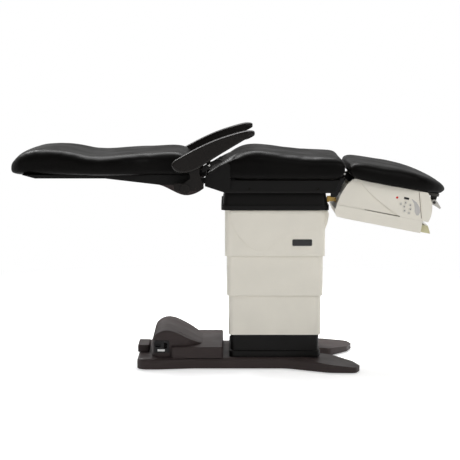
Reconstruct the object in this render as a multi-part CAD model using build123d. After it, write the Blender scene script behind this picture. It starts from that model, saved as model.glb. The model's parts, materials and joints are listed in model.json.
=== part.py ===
from build123d import *
from math import atan, cos, degrees, radians, sin
import os

os.makedirs("parts", exist_ok=True)

# Millimetres. +X runs from the head end to the foot end, +Y is the patient's left, +Z is up.
# The origin is on the floor, midway between the two ends of the chair lying flat.

# Fits and walls
seat_gap = 0.3
running_gap = 0.06
cover_wall = 3.0
skin_wall = 4.0

# Base
base_rear_x = -392.0
base_top_z = 50.0
base_bottom_z = 5.0
base_rear_half_width = 237.0
base_edge_radius = 14.0
base_waist_half_width = 215.0
foot_outer_half_width = 315.0
foot_tip_x = 563.0
foot_tip_z = 26.0
foot_slope_start_x = 330.0
crotch_x = 395.0
crotch_half_width = 62.0
frame_plate_z = 10.0
frame_plate_thickness = 12.0
frame_inset = 9.0
glide_radius = 22.0
glide_inset = 62.0

# Power housing, control box and mains inlet
hump_rear_x = -330.0
hump_peak_x = -275.0
hump_peak_z = 165.0
hump_front_x = -112.0
hump_half_width = 190.0
hump_edge_radius = 8.0
hump_rear_round = 34.0
hump_front_round = 105.0
vent_radius = 3.5
box_rear_x = -245.0
box_front_x = -23.0
box_top_z = 98.0
service_box_length = 46.0
service_box_half_width = 73.0
service_box_height = 31.0
panel_x = -286.5
panel_length = 65.0
panel_bottom_z = 70.0
panel_height = 52.0
panel_thickness = 3.0
inlet_length = 27.0
inlet_height = 22.0
inlet_depth = 22.0
rocker_radius = 11.0
rocker_width = 12.0

# Lift column
column_x = 200.0
lift_travel = 405.0
shroud_half_length = 214.0
shroud_step = 8.0
shroud_corner = 24.0
shroud_upper_z = (490.0, 700.0)
shroud_middle_z = (318.0, 512.0)
shroud_lower_z = (147.0, 340.0)
shroud_fixed_top_z = 170.0
plinth_height = 29.0
plinth_overhang = 6.0
hood_reach = 17.0
hood_z = (600.0, 684.0)
shield_thickness = 3.0
badge_length = 84.0
badge_height = 28.0
badge_x = 316.0
badge_z = 549.0
badge_thickness = 2.0
stage_length = 150.0
stage_width = 110.0
stage_wall = 6.0
stage_fit = 0.6
slide_gap = 0.5
guide_height = 16.0
collar_height = 5.0
stage_height = 282.0

# Seat carriage
skirt_bottom_z = 689.0
skirt_top_z = 764.0
skirt_flare = 12.0
skirt_clearance = 10.0
skirt_rim_height = 20.0
skirt_rim_proud = 2.5
back_arm_half_gauge = 225.0
rail_inset = 35.0
tongue_inset = 20.0
pan_outset = 23.0
shell_outset = 21.0
cheek_thickness = 33.0
cushion_overhang = 3.0
arm_clearance = 6.0
waist_clearance = 17.0
shoulder_outset = 29.0
head_inset = 52.0
lever_ear_inset = 27.0
rail_cover_room = 15.0
rail_half_gauge = back_arm_half_gauge - rail_inset
shroud_half_width = rail_half_gauge + rail_cover_room
seat_tongue_half_width = back_arm_half_gauge - tongue_inset
pan_half_width = back_arm_half_gauge + pan_outset
seat_half_width = pan_half_width + cheek_thickness + cushion_overhang
arm_inner_y = seat_half_width + arm_clearance
back_waist_half_width = arm_inner_y - waist_clearance
back_half_width = back_waist_half_width + shoulder_outset
head_half_width = back_half_width - head_inset
back_shell_half_width = back_arm_half_gauge + shell_outset
lever_ear_y = -arm_inner_y - lever_ear_inset
pan_rear_x = -98.0
pan_front_x = 448.0
pan_rear_z = 794.0
pan_bottom_z = 764.0
cushion_bottom_z = 824.0
seat_top_z = 940.0
seat_front_x = 499.0
side_round = 36.0
base_round = 14.0
rail_width = 34.0
rail_depth = 32.0
deck_thickness = 12.0
deck_margin = 40.0

# Hinges
back_pivot_x = -25.5
back_pivot_z = 814.4
back_arm_thickness = 22.0
back_arm_height = 24.0
knuckle_radius = 19.0
hinge_pin_radius = 9.0
pin_reach = 5.0
lug_thickness = 8.0
torque_tube_radius = 9.0
leg_pivot_x = 500.0
leg_pivot_z = 836.0
leg_knuckle_radius = 10.5
leg_pin_radius = 5.0
leg_arm_half_gauge = 106.0
leg_arm_thickness = 12.0
leg_droop = 11.0

# Back section
back_head_x = -945.5
back_end_gap = 108.0
back_bottom_z = 842.0
back_top_z = 931.0
headrest_rise = 13.0
back_shell_thickness = 15.0
bulge_bottom_z = 756.0
bulge_rear_x = -290.0
bulge_front_x = -106.0
arm_pivot_x = -180.0
arm_pivot_z = 790.0
arm_shaft_radius = 11.0

# Arms
arm_width = 60.0
arm_pad_thickness = 10.0
bracket_thickness = 22.0
bracket_inset = 12.0
hub_radius = 21.0
hub_cap_thickness = 5.0
lever_thickness = 8.0
lever_pin_radius = 3.5
lever_ear_thickness = 8.0

# Actuators
actuator_radius = 14.0
rod_radius = 8.0
fork_cheek = 5.0
fork_gap = 0.6
lever_plate = 10.0
back_lever_radius = 30.0
back_lever_lead = 40.0
back_rod_z = 782.0
leg_lever_x = -30.0
leg_lever_z = -115.0
leg_actuator_y = -130.0
screw_radius = 5.0
screw_head = 2.0

# Leg section, drawn level about its hinge
pad_bottom = -3.0
pad_top = 72.0
pad_rear = 0.0
housing_half_width = 235.0
housing_length = 352.0
housing_bottom = -126.0
pan_floor = -178.0
end_cap_reach = 32.0
sweep_depth = 6.5
sweep_width = 147.0
sweep_fall = 2.2
sweep_rise = 3.6
tray_side_gap = 20.0
tray_rear_x = 52.0
carrier_side_gap = 37.0
rail_side_gap = 48.0
pad_overhang = 43.0
pad_reach = 99.0
nose_narrowing = 88.0
carrier_rear_x = 92.0
carrier_reach = 60.0
tray_half_width = housing_half_width - tray_side_gap
carrier_half_width = housing_half_width - carrier_side_gap
leg_rail_half_gauge = carrier_half_width - rail_side_gap
pad_half_width = housing_half_width + pad_overhang
pad_nose_half_width = pad_half_width - nose_narrowing
pad_length = housing_length + pad_reach
carrier_front_x = housing_length + carrier_reach
lock_x = housing_length + 46.0
lock_z = -44.0
lock_ear_thickness = 4.0
lock_hub_length = 30.0
lock_hub_radius = 12.0
lock_ear_pitch = 28.0
lock_pin_radius = 4.0
lock_ear_inset = 85.0
keypad_x = housing_length - 84.0
keypad_z = -80.0
board_thickness = 1.6
board_stand_off = 3.0
board_post_radius = 3.0
tray_height = 32.0
tray_wall = 2.5
carrier_thickness = 12.0
leg_rail_width = 20.0
leg_rail_depth = 30.0
runner_depth = 15.0
runner_width = 5.0
key_radius = 6.0
key_height = 2.0
key_travel = 0.8
lamp_radius = 5.0
display_length = 22.0
display_height = 9.0


def box(x0, x1, y0, y1, z0, z1):
    """A plain block between three pairs of limits."""
    centre = Pos((x0 + x1) / 2, (y0 + y1) / 2, (z0 + z1) / 2)
    return centre * Box(x1 - x0, y1 - y0, z1 - z0)


def side_face(outline):
    """The face inside a closed outline drawn in X and Z."""
    return Plane.XZ * make_face(outline)


def across(face, y0, y1):
    """A side face carried from y0 to y1."""
    return Pos(0, y0, 0) * extrude(face, amount=y1 - y0, dir=(0, 1, 0))


def prism(points, y0, y1, radius=0.0):
    """A side outline with rounded corners, carried from y0 to y1."""
    if radius:
        outline = FilletPolyline(*points, radius=radius, close=True)
    else:
        outline = Polyline(*points, close=True)
    return across(side_face(outline), y0, y1)


def rod(x, z, radius, y0, y1):
    """A round bar across the chair."""
    turned = Pos(x, (y0 + y1) / 2, z) * Rot(90, 0, 0)
    return turned * Cylinder(radius, y1 - y0)


def both_sides(shape):
    """The shape and its mirror image across the centre plane."""
    return shape + mirror(shape, about=Plane.XZ)


def rounded_box(x0, x1, y0, y1, z0, z1, corner):
    """A block with its four upright edges rounded."""
    block = box(x0, x1, y0, y1, z0, z1)
    return fillet(block.edges().filter_by(Axis.Z), corner)


def save(shape, name):
    """One named piece in its own file."""
    export_step(shape, "parts/" + name + ".step")


# Base


def base_outline(inset):
    """The plan of the base: a waisted body with two splayed feet."""
    rear = base_rear_x + inset
    wide = base_rear_half_width - inset
    waist = base_waist_half_width - inset
    foot = foot_outer_half_width - inset
    tip = foot_tip_x - inset
    crotch = crotch_x - inset
    gap = crotch_half_width + inset
    half = [
        (rear, -wide),
        (rear + 95.0, -wide),
        (rear + 240.0, -waist),
        (foot_slope_start_x - 80.0, -waist),
        (foot_tip_x - 135.0, -foot + 6.0),
        (tip - 20.0, -foot),
        (tip, -foot + 60.0),
        (tip - 25.0, -gap - 110.0),
        (crotch + 60.0, -gap - 10.0),
        (crotch, -gap),
    ]
    radii = [45.0, 120.0, 200.0, 110.0, 110.0, 28.0, 30.0, 30.0, 30.0, 30.0]
    points = half + [(x, -y) for x, y in reversed(half)]
    return make_face(FilletPolyline(*points, radius=radii + radii[::-1], close=True))


def foot_slope(drop):
    """What is cut away above the two feet, which fall towards their tips."""
    top = base_top_z + 1.0
    reach = foot_tip_x + 10.0
    fall = (base_top_z - foot_tip_z) / (foot_tip_x - foot_slope_start_x)
    end_z = base_top_z - fall * (reach - foot_slope_start_x)
    wide = foot_outer_half_width + 10.0
    points = [
        (foot_slope_start_x, base_top_z - drop),
        (foot_slope_start_x, top),
        (reach, top),
        (reach, end_z - drop),
    ]
    return prism(points, -wide, wide)


def column_hole(clearance, z0, z1):
    """The space that the lift column takes through the base cover."""
    length = stage_length / 2 + clearance
    width = stage_width / 2 + clearance
    return box(column_x - length, column_x + length, -width, width, z0, z1)


def build_base_cover():
    """The moulded cover of the base, open below."""
    outer = Pos(0, 0, base_bottom_z) * extrude(base_outline(0.0), amount=base_top_z - base_bottom_z)
    outer = fillet(outer.faces().sort_by(Axis.Z)[-1].edges(), base_edge_radius)
    outer = outer - foot_slope(0.0)
    depth = base_top_z - skin_wall - base_bottom_z
    inner = Pos(0, 0, base_bottom_z) * extrude(base_outline(skin_wall), amount=depth)
    inner = inner - foot_slope(skin_wall)
    return outer - inner - column_hole(stage_fit, base_bottom_z, base_top_z + 1.0)


def build_base_frame():
    """The steel foot plate with the pad that carries the lift column."""
    plate = Pos(0, 0, frame_plate_z) * extrude(base_outline(frame_inset), amount=frame_plate_thickness)
    plate = plate - foot_slope(skin_wall + seat_gap)
    pad_top = base_top_z - skin_wall
    pad = column_hole(-stage_fit, frame_plate_z + frame_plate_thickness, pad_top)
    return plate + pad


def build_glides():
    """Four adjustable glides under the foot plate."""
    disc = Pos(0, 0, frame_plate_z / 2) * Cylinder(glide_radius, frame_plate_z)
    disc = fillet(disc.edges().group_by(Axis.Z)[0], 3.0)
    rear = Pos(base_rear_x + glide_inset, -base_rear_half_width + glide_inset, 0) * disc
    front = Pos(foot_tip_x - glide_inset, -foot_outer_half_width + glide_inset, 0) * disc
    return both_sides(rear + front)


def hump_face(inset):
    """The side outline of the power housing, a long teardrop."""
    rear = hump_rear_x + inset
    front = hump_front_x - inset * 2
    step_z = box_top_z + seat_gap
    floor_z = base_top_z
    crown = Spline(
        (rear, hump_peak_z - 58.0),
        (hump_peak_x - 34.0, hump_peak_z - 14.0 - inset),
        (hump_peak_x, hump_peak_z - inset),
        (hump_peak_x + 79.0, hump_peak_z - 23.0 - inset),
        (front - 36.0, step_z + 18.0),
        (front, step_z),
    )
    rest = Polyline(
        (front, step_z),
        (box_rear_x - seat_gap, step_z),
        (box_rear_x - seat_gap, floor_z),
        (rear, floor_z),
        (rear, hump_peak_z - 58.0),
    )
    return side_face(crown + rest)


def panel_limits(margin):
    """The inlet panel's limits in X and Z, grown by a margin."""
    half = panel_length / 2 + margin
    low = panel_bottom_z - margin
    high = panel_bottom_z + panel_height + margin
    return (panel_x - half, panel_x + half, low, high)


def build_power_housing():
    """The humped moulding that covers the power unit."""
    hump = across(hump_face(0.0), -hump_half_width, hump_half_width)
    ends = hump.faces().filter_by(Axis.Y)
    crown_edges = [e for e in ends.edges() if e.center().Z > box_top_z + 20.0]
    hump = fillet(crown_edges, hump_edge_radius)
    corners = [
        (hump_rear_x, -hump_half_width),
        (hump_front_x, -hump_half_width),
        (hump_front_x, hump_half_width),
        (hump_rear_x, hump_half_width),
    ]
    radii = [hump_rear_round, hump_front_round, hump_front_round, hump_rear_round]
    plan = make_face(FilletPolyline(*corners, radius=radii, close=True))
    hump = hump & Pos(0, 0, base_top_z) * extrude(plan, amount=hump_peak_z - base_top_z + 10.0)
    hump = hump - vent_holes()
    deep = hump_half_width - 20.0
    well_x0 = hump_rear_x + skin_wall * 3
    well_x1 = box_rear_x - skin_wall
    well = box(well_x0, well_x1, -deep, deep, base_top_z, panel_bottom_z + panel_height)
    x0, x1, z0, z1 = panel_limits(-2.0)
    pocket = box(x0, x1, -hump_half_width, -deep + 1.0, z0, z1)
    x0, x1, z0, z1 = panel_limits(seat_gap)
    rebate = box(x0, x1, -hump_half_width, -hump_half_width + panel_thickness - 1.0, z0, z1)
    return hump - well - pocket - rebate


def vent_holes():
    """Two short rows of vent holes in the sloping crown."""
    holes = None
    for row in range(2):
        for number in range(3):
            x = hump_peak_x + 62.0 + 16.0 * number + 8.0 * row
            y = -hump_half_width + 44.0 + 15.0 * row
            hole = Pos(x, y, hump_peak_z - 14.0) * Cylinder(vent_radius, 44.0)
            holes = hole if holes is None else holes + hole
    return holes


def inlet_place():
    """The middle of the mains inlet on its panel."""
    return (panel_x - panel_length / 4, panel_bottom_z + panel_height * 0.58)


def rocker_place():
    """The middle of the rocker switch on its panel."""
    return (panel_x + panel_length / 4, panel_bottom_z + panel_height * 0.58)


def build_inlet_panel():
    """The small panel that holds the mains inlet and the switch."""
    x0, x1, z0, z1 = panel_limits(0.0)
    front = -hump_half_width - 1.0
    plate = box(x0, x1, front, front + panel_thickness, z0, z1)
    plate = fillet(plate.edges().filter_by(Axis.Y), 3.0)
    ix, iz = inlet_place()
    half = inlet_length / 2 + seat_gap
    high = inlet_height / 2 + seat_gap
    plate = plate - box(ix - half, ix + half, front - 1, front + 9, iz - high, iz + high)
    rx, rz = rocker_place()
    half = rocker_width / 2 + 0.6
    high = rocker_radius + 0.6
    return plate - box(rx - half, rx + half, front - 1, front + 9, rz - high, rz + high)


def build_mains_inlet():
    """The mains inlet with its three pins, and the fuse drawer under it."""
    ix, iz = inlet_place()
    front = -hump_half_width - 3.0
    half = inlet_length / 2
    high = inlet_height / 2
    body = box(ix - half, ix + half, front, front + inlet_depth, iz - high, iz + high)
    mouth = box(ix - half + 3, ix + half - 3, front, front + 14, iz - high + 5, iz + high - 3)
    body = body - mouth
    for offset in (-6.0, 0.0, 6.0):
        pin = Pos(ix + offset, front + 10.5, iz + 1.0 + (2.0 if offset == 0.0 else -1.0)) * Box(2.0, 8.0, 4.0)
        body = body + pin
    return body


def build_power_switch():
    """The rocker, with its two shallow faces."""
    rx, rz = rocker_place()
    r = rocker_radius
    nose = -r * 0.92
    points = [(nose, r * 0.36), (nose * 0.72, 0.0), (nose, -r * 0.36), (0.0, -r * 0.94), (0.0, r * 0.94)]
    face = Plane.YZ * make_face(Polyline(*points, close=True))
    body = extrude(face, amount=rocker_width, dir=(1, 0, 0))
    return Pos(rx - rocker_width / 2, -hump_half_width + 2.0, rz) * body


def build_power_unit():
    """The power supply and pump block inside the hump."""
    deep = hump_half_width - 36.0
    x0 = hump_rear_x + skin_wall * 3 + 4.0
    x1 = box_rear_x - skin_wall - 4.0
    top = panel_bottom_z + panel_height - 8.0
    block = box(x0, x1, -deep, deep, base_top_z, top)
    return chamfer(block.edges().filter_by(Axis.Y), 4.0)


def build_control_box():
    """The flat cover over the control electronics, open below."""
    half = base_waist_half_width
    outer = rounded_box(box_rear_x, box_front_x, -half, half, base_top_z, box_top_z, 14.0)
    outer = fillet(outer.faces().sort_by(Axis.Z)[-1].edges(), 6.0)
    wall = cover_wall
    inner = box(
        box_rear_x + wall, box_front_x - wall, -half + wall, half - wall, base_top_z, box_top_z - wall
    )
    inner = fillet(inner.edges().filter_by(Axis.Z), 11.0)
    return outer - inner


def build_service_box():
    """The small box on the rear edge of the base."""
    x1 = base_rear_x + service_box_length
    half = service_box_half_width
    top = base_top_z + service_box_height
    outer = rounded_box(base_rear_x - 4.0, x1, -half, half, base_top_z, top, 6.0)
    return fillet(outer.faces().sort_by(Axis.Z)[-1].edges(), 4.0)


# Lift column


def shroud_block(step, z0, z1, shrink=0.0):
    """The rounded block of the shroud that lies a number of steps inside the outer one."""
    half_x = shroud_half_length - shroud_step * step - shrink
    half_y = shroud_half_width - shroud_step * step - shrink
    corner = shroud_corner - shrink
    return rounded_box(column_x - half_x, column_x + half_x, -half_y, half_y, z0, z1, corner)


def build_shroud(step, z0, z1):
    """One drag cover: a rounded tube open at both ends."""
    return shroud_block(step, z0, z1) - shroud_block(step, z0, z1, cover_wall)


def guide_ring(step, z0):
    """The inner lip at the foot of a cover, a running fit on the next cover."""
    z1 = z0 + guide_height
    return shroud_block(step, z0, z1, cover_wall - 0.5) - shroud_block(step + 1, z0, z1, -slide_gap)


def build_guided_shroud(step, z0, z1):
    """A drag cover with the lip that guides it on the next one."""
    return build_shroud(step, z0, z1) + guide_ring(step, z0)


def top_collar():
    """The outward collar that holds the upper cover inside the skirt."""
    z1 = shroud_upper_z[1]
    taper = skirt_flare * (z1 - skirt_bottom_z) / (skirt_top_z - skirt_bottom_z)
    reach = skirt_clearance - taper - seat_gap
    z0 = z1 - collar_height
    return shroud_block(0, z0, z1, -reach) - shroud_block(0, z0, z1, 1.0)


def shield_face():
    """The raised shield on the upper cover, bounded by one flowing curve."""
    left = column_x - shroud_half_length + shroud_corner
    right = column_x + shroud_half_length - shroud_corner
    top = shroud_upper_z[1] - 14.0
    low = shroud_upper_z[0] + 24.0
    sweep = Spline(
        (left, top - 20.0),
        (left + 32.0, top - 105.0),
        (left + 130.0, low),
        (left + 235.0, low + 62.0),
        (left + 300.0, low + 84.0),
        (right, low + 90.0),
    )
    rest = Polyline((right, low + 90.0), (right, top), (left, top), (left, top - 20.0))
    return side_face(sweep + rest)


def build_shroud_upper():
    """The upper cover with its shield on both sides and the hood at the foot end."""
    tube = build_guided_shroud(0, *shroud_upper_z) + top_collar()
    right = column_x + shroud_half_length
    low, high = hood_z
    half = shroud_half_width - shroud_corner
    points = [
        (right - 1.0, low),
        (right + hood_reach * 0.6, low + 30.0),
        (right + hood_reach, high - 16.0),
        (right + hood_reach * 0.7, high),
        (right - 1.0, high),
    ]
    hood = prism(points, -half, half)
    side = shroud_half_width
    shield = across(shield_face(), -side - shield_thickness, -side)
    return tube + hood + both_sides(shield)


def build_badge_plate():
    """A plain blank plate on the upper cover."""
    front = -shroud_half_width
    half = badge_length / 2
    high = badge_height / 2
    plate = box(badge_x - half, badge_x + half, front - badge_thickness, front, badge_z - high, badge_z + high)
    return fillet(plate.edges().filter_by(Axis.Y), 5.0)


def build_plinth():
    """The black collar at the foot of the column."""
    half_x = shroud_half_length - shroud_step * 3 + plinth_overhang
    half_y = shroud_half_width - shroud_step * 3 + plinth_overhang
    z1 = base_top_z + plinth_height
    outer = rounded_box(column_x - half_x, column_x + half_x, -half_y, half_y, base_top_z, z1, shroud_corner + 4.0)
    outer = chamfer(outer.faces().sort_by(Axis.Z)[-1].edges(), 4.0)
    inner = shroud_block(3, base_top_z, z1, -seat_gap)
    return outer - inner


def stage_tube(step, z0):
    """One stage of the lift column, each a running fit inside the one below."""
    shrink = step * (stage_wall + stage_fit)
    half_x = stage_length / 2 - shrink
    half_y = stage_width / 2 - shrink
    outer = rounded_box(column_x - half_x, column_x + half_x, -half_y, half_y, z0, z0 + stage_height, 8.0)
    wall = stage_wall
    inner = box(column_x - half_x + wall, column_x + half_x - wall, -half_y + wall, half_y - wall, z0, z0 + stage_height)
    inner = fillet(inner.edges().filter_by(Axis.Z), 3.0)
    return outer - inner


stage_fixed_z = base_top_z - skin_wall
stage_rise = lift_travel / 2
stage_middle_z = stage_fixed_z + 2.0 + stage_rise
stage_top_z = stage_fixed_z + 4.0 + lift_travel
carriage_plate_z = stage_top_z + stage_height


# Seat carriage


def skirt_ring(grow, z):
    """The plan of the skirt at one height."""
    half_x = shroud_half_length + skirt_clearance + grow
    half_y = shroud_half_width + skirt_clearance + grow
    sketch = Rectangle(half_x * 2, half_y * 2)
    sketch = fillet(sketch.vertices(), shroud_corner + grow)
    return Pos(column_x, 0, z) * sketch


def build_skirt():
    """The flared skirt between the seat and the column, with its rim."""
    wall = cover_wall
    outer = loft([skirt_ring(wall, skirt_bottom_z), skirt_ring(wall - skirt_flare, skirt_top_z)])
    inner = loft([skirt_ring(0.0, skirt_bottom_z), skirt_ring(-skirt_flare, skirt_top_z)])
    rim = extrude(skirt_ring(wall + skirt_rim_proud, skirt_bottom_z), amount=skirt_rim_height)
    rim = rim - extrude(skirt_ring(wall - 2.0, skirt_bottom_z), amount=skirt_rim_height)
    x, z = leg_lever_point(0.0)
    front = column_x + shroud_half_length
    port = bar(front - 10.0, front + 30.0, leg_actuator_y, z, rod_radius + 2.0)
    return (outer + rim) - inner - port


def pan_points(inset):
    """The side outline of the seat pan."""
    top = cushion_bottom_z - seat_gap
    return [
        (pan_rear_x + inset, top),
        (pan_rear_x + inset, pan_rear_z + inset),
        (pan_rear_x + 92.0 + inset, pan_bottom_z + inset),
        (pan_front_x - inset, pan_bottom_z + inset),
        (pan_front_x + 26.0 - inset, top),
    ]


def build_seat_pan():
    """The black under-pan of the seat with the two cheeks that guard the back hinges."""
    wall = cover_wall
    half = pan_half_width
    shell = prism(pan_points(0.0), -half, half)
    shell = fillet(shell.edges().filter_by(Axis.X), 8.0)
    top = cushion_bottom_z - seat_gap
    inner = prism(pan_points(wall), -half + wall, half - wall)
    inner = inner + box(pan_rear_x + wall, pan_front_x, -half + wall, half - wall, top - 10.0, top + 1.0)
    shell = shell - inner
    gap_y0 = back_arm_half_gauge - back_arm_thickness / 2 - lug_thickness - 4.0
    notch = box(pan_rear_x - 5.0, pan_rear_x + 20.0, gap_y0, half - wall, pan_rear_z - 6.0, top + 5.0)
    shell = shell - both_sides(notch)
    reach = leg_arm_half_gauge + leg_arm_thickness + lug_thickness + 8.0
    mouth = box(pan_front_x - 30.0, pan_front_x + 40.0, -reach, reach, pan_bottom_z + 14.0, top + 5.0)
    shell = shell - mouth
    deck_x = stage_length / 2 + deck_margin + 1.0
    deck_y = rail_half_gauge - rail_width / 2 + 1.0
    hole = box(column_x - deck_x, column_x + deck_x, -deck_y, deck_y, pan_bottom_z - 5.0, pan_bottom_z + 5.0)
    fork_half = lever_plate / 2 + fork_cheek + 3.0
    slot = box(pan_rear_x + 26.0, back_pivot_x + 60.0, -fork_half, fork_half, pan_bottom_z - 5.0, pan_rear_z + 4.0)
    shell = shell - hole - slot
    cheek_points = [
        (pan_rear_x, pan_rear_z + 4.0),
        (pan_rear_x, pan_rear_z + 40.0),
        (pan_rear_x + 60.0, pan_rear_z + 88.0),
        (back_pivot_x + 34.0, pan_rear_z + 102.0),
        (back_pivot_x + 34.0, pan_rear_z - 20.0),
        (pan_rear_x + 70.0, pan_rear_z - 20.0),
    ]
    cheek = prism(cheek_points, -half - cheek_thickness, -half, 12.0)
    return shell + both_sides(cheek)


def seat_side_face():
    """The side outline of the seat cushion."""
    low = cushion_bottom_z
    high = seat_top_z
    front = seat_front_x
    back = pan_rear_x + 4.0
    top = Spline(
        (back, low + 22.0),
        (back + 72.0, high - 58.0),
        (back + 112.0, high - 26.0),
        (back + 155.0, high - 7.0),
        (back + 215.0, high),
        (front - 250.0, high - 14.0),
        (front - 130.0, high - 25.0),
        (front - 42.0, high - 28.0),
        (front - 10.0, high - 40.0),
        (front, high - 66.0),
    )
    nose = Spline(
        (front, high - 66.0),
        (front - 16.0, low + 20.0),
        (front - 62.0, low),
    )
    rest = Polyline((front - 62.0, low), (back, low), (back, low + 22.0))
    return side_face(top + nose + rest)


def along(half_width, low, high, upper, lower):
    """A long bar with the rounded cross-section of a cushion."""
    points = [(-half_width, low), (-half_width, high), (half_width, high), (half_width, low)]
    outline = FilletPolyline(*points, radius=[lower, upper, upper, lower], close=True)
    face = Plane.YZ * make_face(outline)
    reach = -2.0 * back_head_x
    return Pos(-reach / 2, 0, 0) * extrude(face, amount=reach, dir=(1, 0, 0))


def build_seat_cushion():
    """The seat cushion, with a narrower tongue between the back hinges."""
    wide = seat_half_width + 5.0
    body = across(seat_side_face(), -wide, wide)
    body = body & along(seat_half_width, cushion_bottom_z, seat_top_z, side_round, base_round)
    clear_x = back_pivot_x + 38.0
    notch = box(pan_rear_x - 5.0, clear_x, seat_tongue_half_width, seat_half_width + 5.0, cushion_bottom_z - 5.0, seat_top_z)
    return body - both_sides(notch)


def build_seat_frame():
    """The welded seat frame: rails, cross members, column plate and hinge lugs."""
    top = cushion_bottom_z - seat_gap
    low = top - rail_depth
    gauge = rail_half_gauge
    half = rail_width / 2
    rear = back_pivot_x + 28.0
    front = pan_front_x - 36.0
    frame = both_sides(box(rear, front, -gauge - half, -gauge + half, low, top))
    plate_half = stage_length / 2 + deck_margin
    for x in (rear + 20.0, column_x - plate_half, column_x + plate_half - 30.0, front - 30.0):
        frame = frame + box(x, x + 30.0, -gauge + half, gauge - half, low, top)
    plate_bottom = carriage_plate_z
    deck = box(column_x - plate_half, column_x + plate_half, -gauge + half, gauge - half, plate_bottom, plate_bottom + deck_thickness)
    webs = box(column_x - plate_half, column_x - plate_half + 30.0, -gauge + half, gauge - half, plate_bottom, low)
    webs = webs + box(column_x + plate_half - 30.0, column_x + plate_half, -gauge + half, gauge - half, plate_bottom, low)
    saddle = bar(rear, column_x - plate_half - 1.0, 0.0, back_rod_z, actuator_radius - 1.0 + seat_gap)
    frame = frame + deck + webs - saddle
    return frame + both_sides(back_lugs()) + both_sides(leg_lugs())


def back_lugs():
    """The ear on the near side that holds one end of a back hinge pin."""
    outer = -back_arm_half_gauge - back_arm_thickness / 2 - seat_gap
    top = cushion_bottom_z - seat_gap
    front = back_pivot_x + 56.0
    ear = rod(back_pivot_x, back_pivot_z, knuckle_radius - 2.0, outer - lug_thickness, outer)
    ear = ear + box(back_pivot_x, front, outer - lug_thickness, outer, top - rail_depth + 4.0, top)
    ear = ear - rod(back_pivot_x, back_pivot_z, hinge_pin_radius, outer - lug_thickness - 1.0, outer + 1.0)
    bridge_x = back_pivot_x + knuckle_radius + 6.0
    inner = -rail_half_gauge - rail_width / 2
    return ear + box(bridge_x, front, outer - lug_thickness, inner, top - rail_depth, top)


def leg_lugs():
    """The two ears each side that hold one leg hinge pin."""
    gap = leg_arm_thickness / 2 + seat_gap
    top = cushion_bottom_z - seat_gap
    low = top - rail_depth
    front = pan_front_x - 36.0
    lugs = None
    for inner in (-leg_arm_half_gauge + gap, -leg_arm_half_gauge - gap - lug_thickness):
        points = [
            (front - 4.0, low),
            (front - 4.0, top - 4.0),
            (leg_pivot_x - 44.0, top - 4.0),
            (leg_pivot_x - 4.0, leg_pivot_z + leg_knuckle_radius * 0.8),
            (leg_pivot_x + 4.0, leg_pivot_z - leg_knuckle_radius * 0.9),
            (leg_pivot_x - 40.0, low),
        ]
        ear = prism(points, inner, inner + lug_thickness)
        ear = ear + rod(leg_pivot_x, leg_pivot_z, leg_knuckle_radius, inner, inner + lug_thickness)
        ear = ear - rod(leg_pivot_x, leg_pivot_z, leg_pin_radius, inner - 1.0, inner + lug_thickness + 1.0)
        lugs = ear if lugs is None else lugs + ear
    return lugs


def build_hinge_pins():
    """The four hinge pins of the back and leg sections."""
    reach = back_arm_thickness / 2
    y = -back_arm_half_gauge
    back = rod(back_pivot_x, back_pivot_z, hinge_pin_radius, y - reach - seat_gap - lug_thickness, y + pin_reach)
    reach = leg_arm_thickness / 2 + seat_gap + lug_thickness
    y = -leg_arm_half_gauge
    leg = rod(leg_pivot_x, leg_pivot_z, leg_pin_radius, y - reach, y + reach)
    return both_sides(back + leg)


# Back section


def back_side_face():
    """The side outline of the back cushion, with the headrest bulge."""
    head = back_head_x
    end = back_pivot_x - back_end_gap
    low = back_bottom_z
    high = back_top_z
    top = Spline(
        (head, low + 10.0),
        (head + 28.0, high - 34.0),
        (head + 85.0, high + 1.0),
        (head + 190.0, high + headrest_rise),
        (head + 285.0, high + 4.0),
        (head + 350.0, high - 12.0),
        (head + 440.0, high - 12.0),
        (head + 600.0, high),
        (end - 110.0, high + 5.0),
        (end - 40.0, high - 5.0),
        (end, high - 50.0),
    )
    rest = Polyline(
        (end, high - 50.0),
        (end, low + 8.0),
        (end - 8.0, low),
        (head + 60.0, low),
        (head, low + 10.0),
    )
    return side_face(top + rest)


def back_plan():
    """The plan of the back cushion: round at the head, narrower between the arms."""
    head = back_head_x
    end = back_pivot_x - back_end_gap
    half = [
        (head - 1.0, -150.0),
        (head + 70.0, -head_half_width + 22.0),
        (head + 260.0, -back_half_width + 14.0),
        (head + 480.0, -back_half_width),
        (end - 200.0, -back_waist_half_width),
        (end, -back_waist_half_width),
    ]
    radii = [95.0, 110.0, 200.0, 90.0, 60.0, 25.0]
    points = half + [(x, -y) for x, y in reversed(half)]
    return make_face(FilletPolyline(*points, radius=radii + radii[::-1], close=True))


def build_back_cushion():
    """The one-piece back cushion: the side outline within the plan outline."""
    wide = back_half_width + 5.0
    body = across(back_side_face(), -wide, wide)
    plan = Pos(0, 0, back_bottom_z - 5.0) * extrude(back_plan(), amount=seat_top_z - back_bottom_z + 40.0)
    section = along(back_half_width + 3.0, back_bottom_z, back_top_z + headrest_rise, side_round, base_round)
    return body & plan & section


def shell_points():
    """The side outline of the back shell under the cushion."""
    head = back_head_x
    end = back_pivot_x - back_end_gap
    top = back_bottom_z - seat_gap
    low = top - back_shell_thickness
    return [
        (head + 75.0, top),
        (head + 130.0, low),
        (bulge_rear_x - 230.0, low),
        (bulge_rear_x, arm_pivot_z + 10.0),
        (end - 6.0, arm_pivot_z + 10.0),
        (end - 6.0, top),
    ]


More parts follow.
